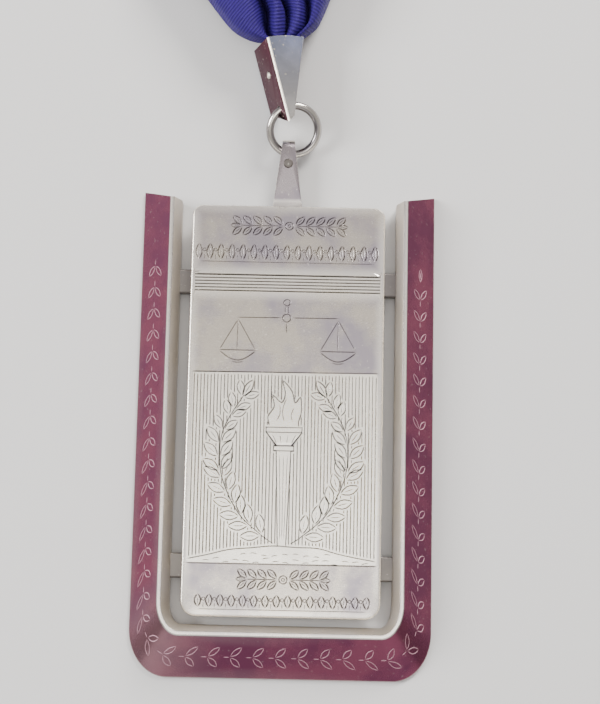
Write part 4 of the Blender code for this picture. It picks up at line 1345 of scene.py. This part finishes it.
        def place(k, across):
            turn = math.pi * k / FOLD_TURNS
            at = Vector(self.strand_plan(across, self.crease_at(across)))
            at += crease * (turn * FOLD_RADIUS / math.tan(self.cut))
            at += out * FOLD_RADIUS * math.sin(turn)
            return (*at, middle - FOLD_RADIUS * math.cos(turn))

        return self.rows(side, range(FOLD_TURNS + 1), place)

    def back_band(self, side):
        """Rows from the crease to the loop's middle, coming down from the strand to the floor."""
        high = self.ground + 2 * FOLD_RADIUS
        crease_x, crease_y = self.strand_plan(0.5, GATHER_LENGTH + self.strand)
        covered = self.width * (0.5 / math.tan(self.cut) + math.tan(RIBBON_SPREAD)) + 1.3

        def place(k, across):
            start = Vector(self.strand_plan(across, self.crease_at(across))).x - FOLD_BACK
            x = start * (1 - k / BAND_ROWS)
            drop = eased((crease_x - covered - x) / BAND_RAMP)
            wave = 0.3 * math.sin(x / 11 + side) * drop * eased(x / 20)
            level = high + (self.ground - high) * drop + max(wave, 0) + 0.12 * drop
            return x, crease_y - self.shift(across), level

        return self.rows(side, range(1, BAND_ROWS + 1), place)


class BADGE_OT_ribbon(bpy.types.Operator):
    """Build the gathered and folded neck ribbon"""

    bl_idname = "badge.ribbon"
    bl_label = "Neck Ribbon"

    def execute(self, context):
        plan = RibbonPlan()
        left, right = (
            plan.gather(side) + plan.flat_strand(side) + plan.fold(side) + plan.back_band(side)
            for side in (-1, 1)
        )
        rows = left + right[-2::-1]
        points = [tuple(c * MM for c in p) for row in rows for p in row]
        along = self.weave(np.array([[tuple(p) for p in row] for row in rows]))
        mesh = bpy.data.meshes.new("folded_neck_ribbon")
        mesh.from_pydata(points, [], quads(len(rows), THREAD_COUNT, closed=False))
        cloth = mesh.uv_layers.new(name="cloth")
        coords = []
        for polygon in mesh.polygons:
            for v in polygon.vertices:
                r, k = divmod(v, THREAD_COUNT)
                coords += [k / (THREAD_COUNT - 1) * plan.width * MM, along[r, k] * MM]
        cloth.data.foreach_set("uv", coords)
        mesh.materials.append(finish("ribbon"))
        mesh.shade_smooth()
        made = linked("folded_neck_ribbon", mesh)
        thick = made.modifiers.new("cloth_thickness", "SOLIDIFY")
        thick.thickness = plan.cloth * MM
        thick.offset = 0.0
        thick.use_even_offset = False
        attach(made, "root")
        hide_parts("neck_ribbon")
        return {"FINISHED"}

    def weave(self, rows):
        """Each point's place along the cloth. Near both ends it is its own thread's length from the end, so
        the ribs fan out round the mouth, and further on it settles to the middle thread's."""
        own = np.cumsum(np.linalg.norm(np.diff(rows, axis=0), axis=2), axis=0)
        own = np.vstack([np.zeros(rows.shape[1]), own])
        back = own[-1] - own
        middle = rows.shape[1] // 2
        shared = own[:, middle]
        total = shared[-1]
        found = []
        for mine, common, fan in zip((own, back), (shared, total - shared), FAN_SHARES):
            settled = np.clip((common - FAN_START) / FAN_LENGTH, 0, 1)[:, None]
            found.append(common[:, None] + (mine - common[:, None]) * fan * (1 - settled))
        return np.where(shared[:, None] < total / 2, found[0], total - found[1])


def area_light(name, place, target, size, power, colour):
    """A soft rectangular light that faces a target."""
    data = bpy.data.lights.new(name, "AREA")
    data.shape = "RECTANGLE"
    data.size, data.size_y = size
    data.energy = power
    data.color = colour
    made = linked(name, data)
    made.location = place
    made.rotation_euler = (Vector(target) - Vector(place)).to_track_quat("-Z", "Y").to_euler()


class BADGE_OT_stage(bpy.types.Operator):
    """Build the floor, the lights, the surroundings and the camera"""

    bl_idname = "badge.stage"
    bl_label = "Stage"

    def execute(self, context):
        mesh = bpy.data.meshes.new("floor")
        half, low = FLOOR_HALF, -FLOOR_DROP
        corners = [(-half, -half, low), (half, -half, low), (half, half, low), (-half, half, low)]
        mesh.from_pydata(corners, [], [(0, 1, 2, 3)])
        mesh.materials.append(finish("floor"))
        floor = linked("floor", mesh)
        for light in LIGHTS:
            area_light(*light)
        self.surroundings(context)
        self.camera(context)
        return {"FINISHED"}

    def surroundings(self, context):
        """Light that is bright overhead and falls off towards the horizon, as in a tented studio."""
        world = bpy.data.worlds.new("studio_tent")
        world.use_nodes = True
        tree = world.node_tree
        place = add_node(tree, "TexCoord").outputs["Generated"]
        up = add_node(tree, "SeparateXYZ", {0: place}).outputs[2]
        ramp = add_node(tree, "ValToRGB", {"Fac": up})
        steps = ramp.color_ramp.elements
        steps[0].color = (0.7, 0.68, 0.68, 1)
        steps[1].color = (1.06, 1.04, 1.02, 1)
        for height, shade in TENT_SHADES:
            steps.new(height).color = (shade, shade * 0.97, shade * 0.98, 1)
        fill(tree, tree.nodes["Background"], {"Color": ramp, "Strength": 1.02})
        context.scene.world = world

    def camera(self, context):
        """The photograph's camera, looking down on the badge."""
        data = bpy.data.cameras.new("camera")
        data.sensor_fit = "VERTICAL"
        data.sensor_height = data.sensor_width = CAMERA_SENSOR
        data.lens = CAMERA_FOCUS
        data.clip_start = 0.01
        level = math.cos(CAMERA_TILT)
        away = Vector((math.sin(CAMERA_PAN) * level, -math.sin(CAMERA_TILT), math.cos(CAMERA_PAN) * level))
        away.normalize()
        place = (CAMERA_TARGET + away * CAMERA_DISTANCE) * MM
        right = (-away).cross(Vector((0, 1, 0))).normalized()
        up = right.cross(-away)
        turned_right = right * math.cos(CAMERA_ROLL) + up * math.sin(CAMERA_ROLL)
        turned_up = -right * math.sin(CAMERA_ROLL) + up * math.cos(CAMERA_ROLL)
        turn = Matrix((turned_right, turned_up, away)).transposed()
        made = linked("camera", data)
        made.matrix_world = Matrix.Translation(place) @ turn.to_4x4()
        context.scene.camera = made


class BADGE_PT_panel(bpy.types.Panel):
    """The badge's pieces and sizes"""

    bl_label = "Badge of Office"
    bl_idname = "BADGE_PT_panel"
    bl_space_type = "VIEW_3D"
    bl_region_type = "UI"
    bl_category = "Badge"

    def draw(self, context):
        for group in (context.scene.badge_sizes, context.scene.badge_colours):
            box = self.layout.box()
            for name in group.__annotations__:
                box.prop(group, name)
        for operator in OPERATORS:
            self.layout.operator(operator.bl_idname)


OPERATORS = (
    BADGE_OT_surround,
    BADGE_OT_plate,
    BADGE_OT_tongue,
    BADGE_OT_ring,
    BADGE_OT_bail,
    BADGE_OT_ribbon,
    BADGE_OT_stage,
)
CLASSES = (BadgeSizes, BadgeColours, *OPERATORS, BADGE_PT_panel)


def register():
    for made in CLASSES:
        bpy.utils.register_class(made)
    bpy.types.Scene.badge_sizes = bpy.props.PointerProperty(type=BadgeSizes)
    bpy.types.Scene.badge_colours = bpy.props.PointerProperty(type=BadgeColours)


def unregister():
    del bpy.types.Scene.badge_colours
    del bpy.types.Scene.badge_sizes
    for made in reversed(CLASSES):
        bpy.utils.unregister_class(made)


def main():
    register()
    bpy.ops.badge.surround()
    bpy.ops.badge.plate()
    bpy.ops.badge.tongue()
    bpy.ops.badge.ring()
    bpy.ops.badge.bail()
    bpy.ops.badge.ribbon()
    bpy.ops.badge.stage()


if __name__ == "__main__":
    main()
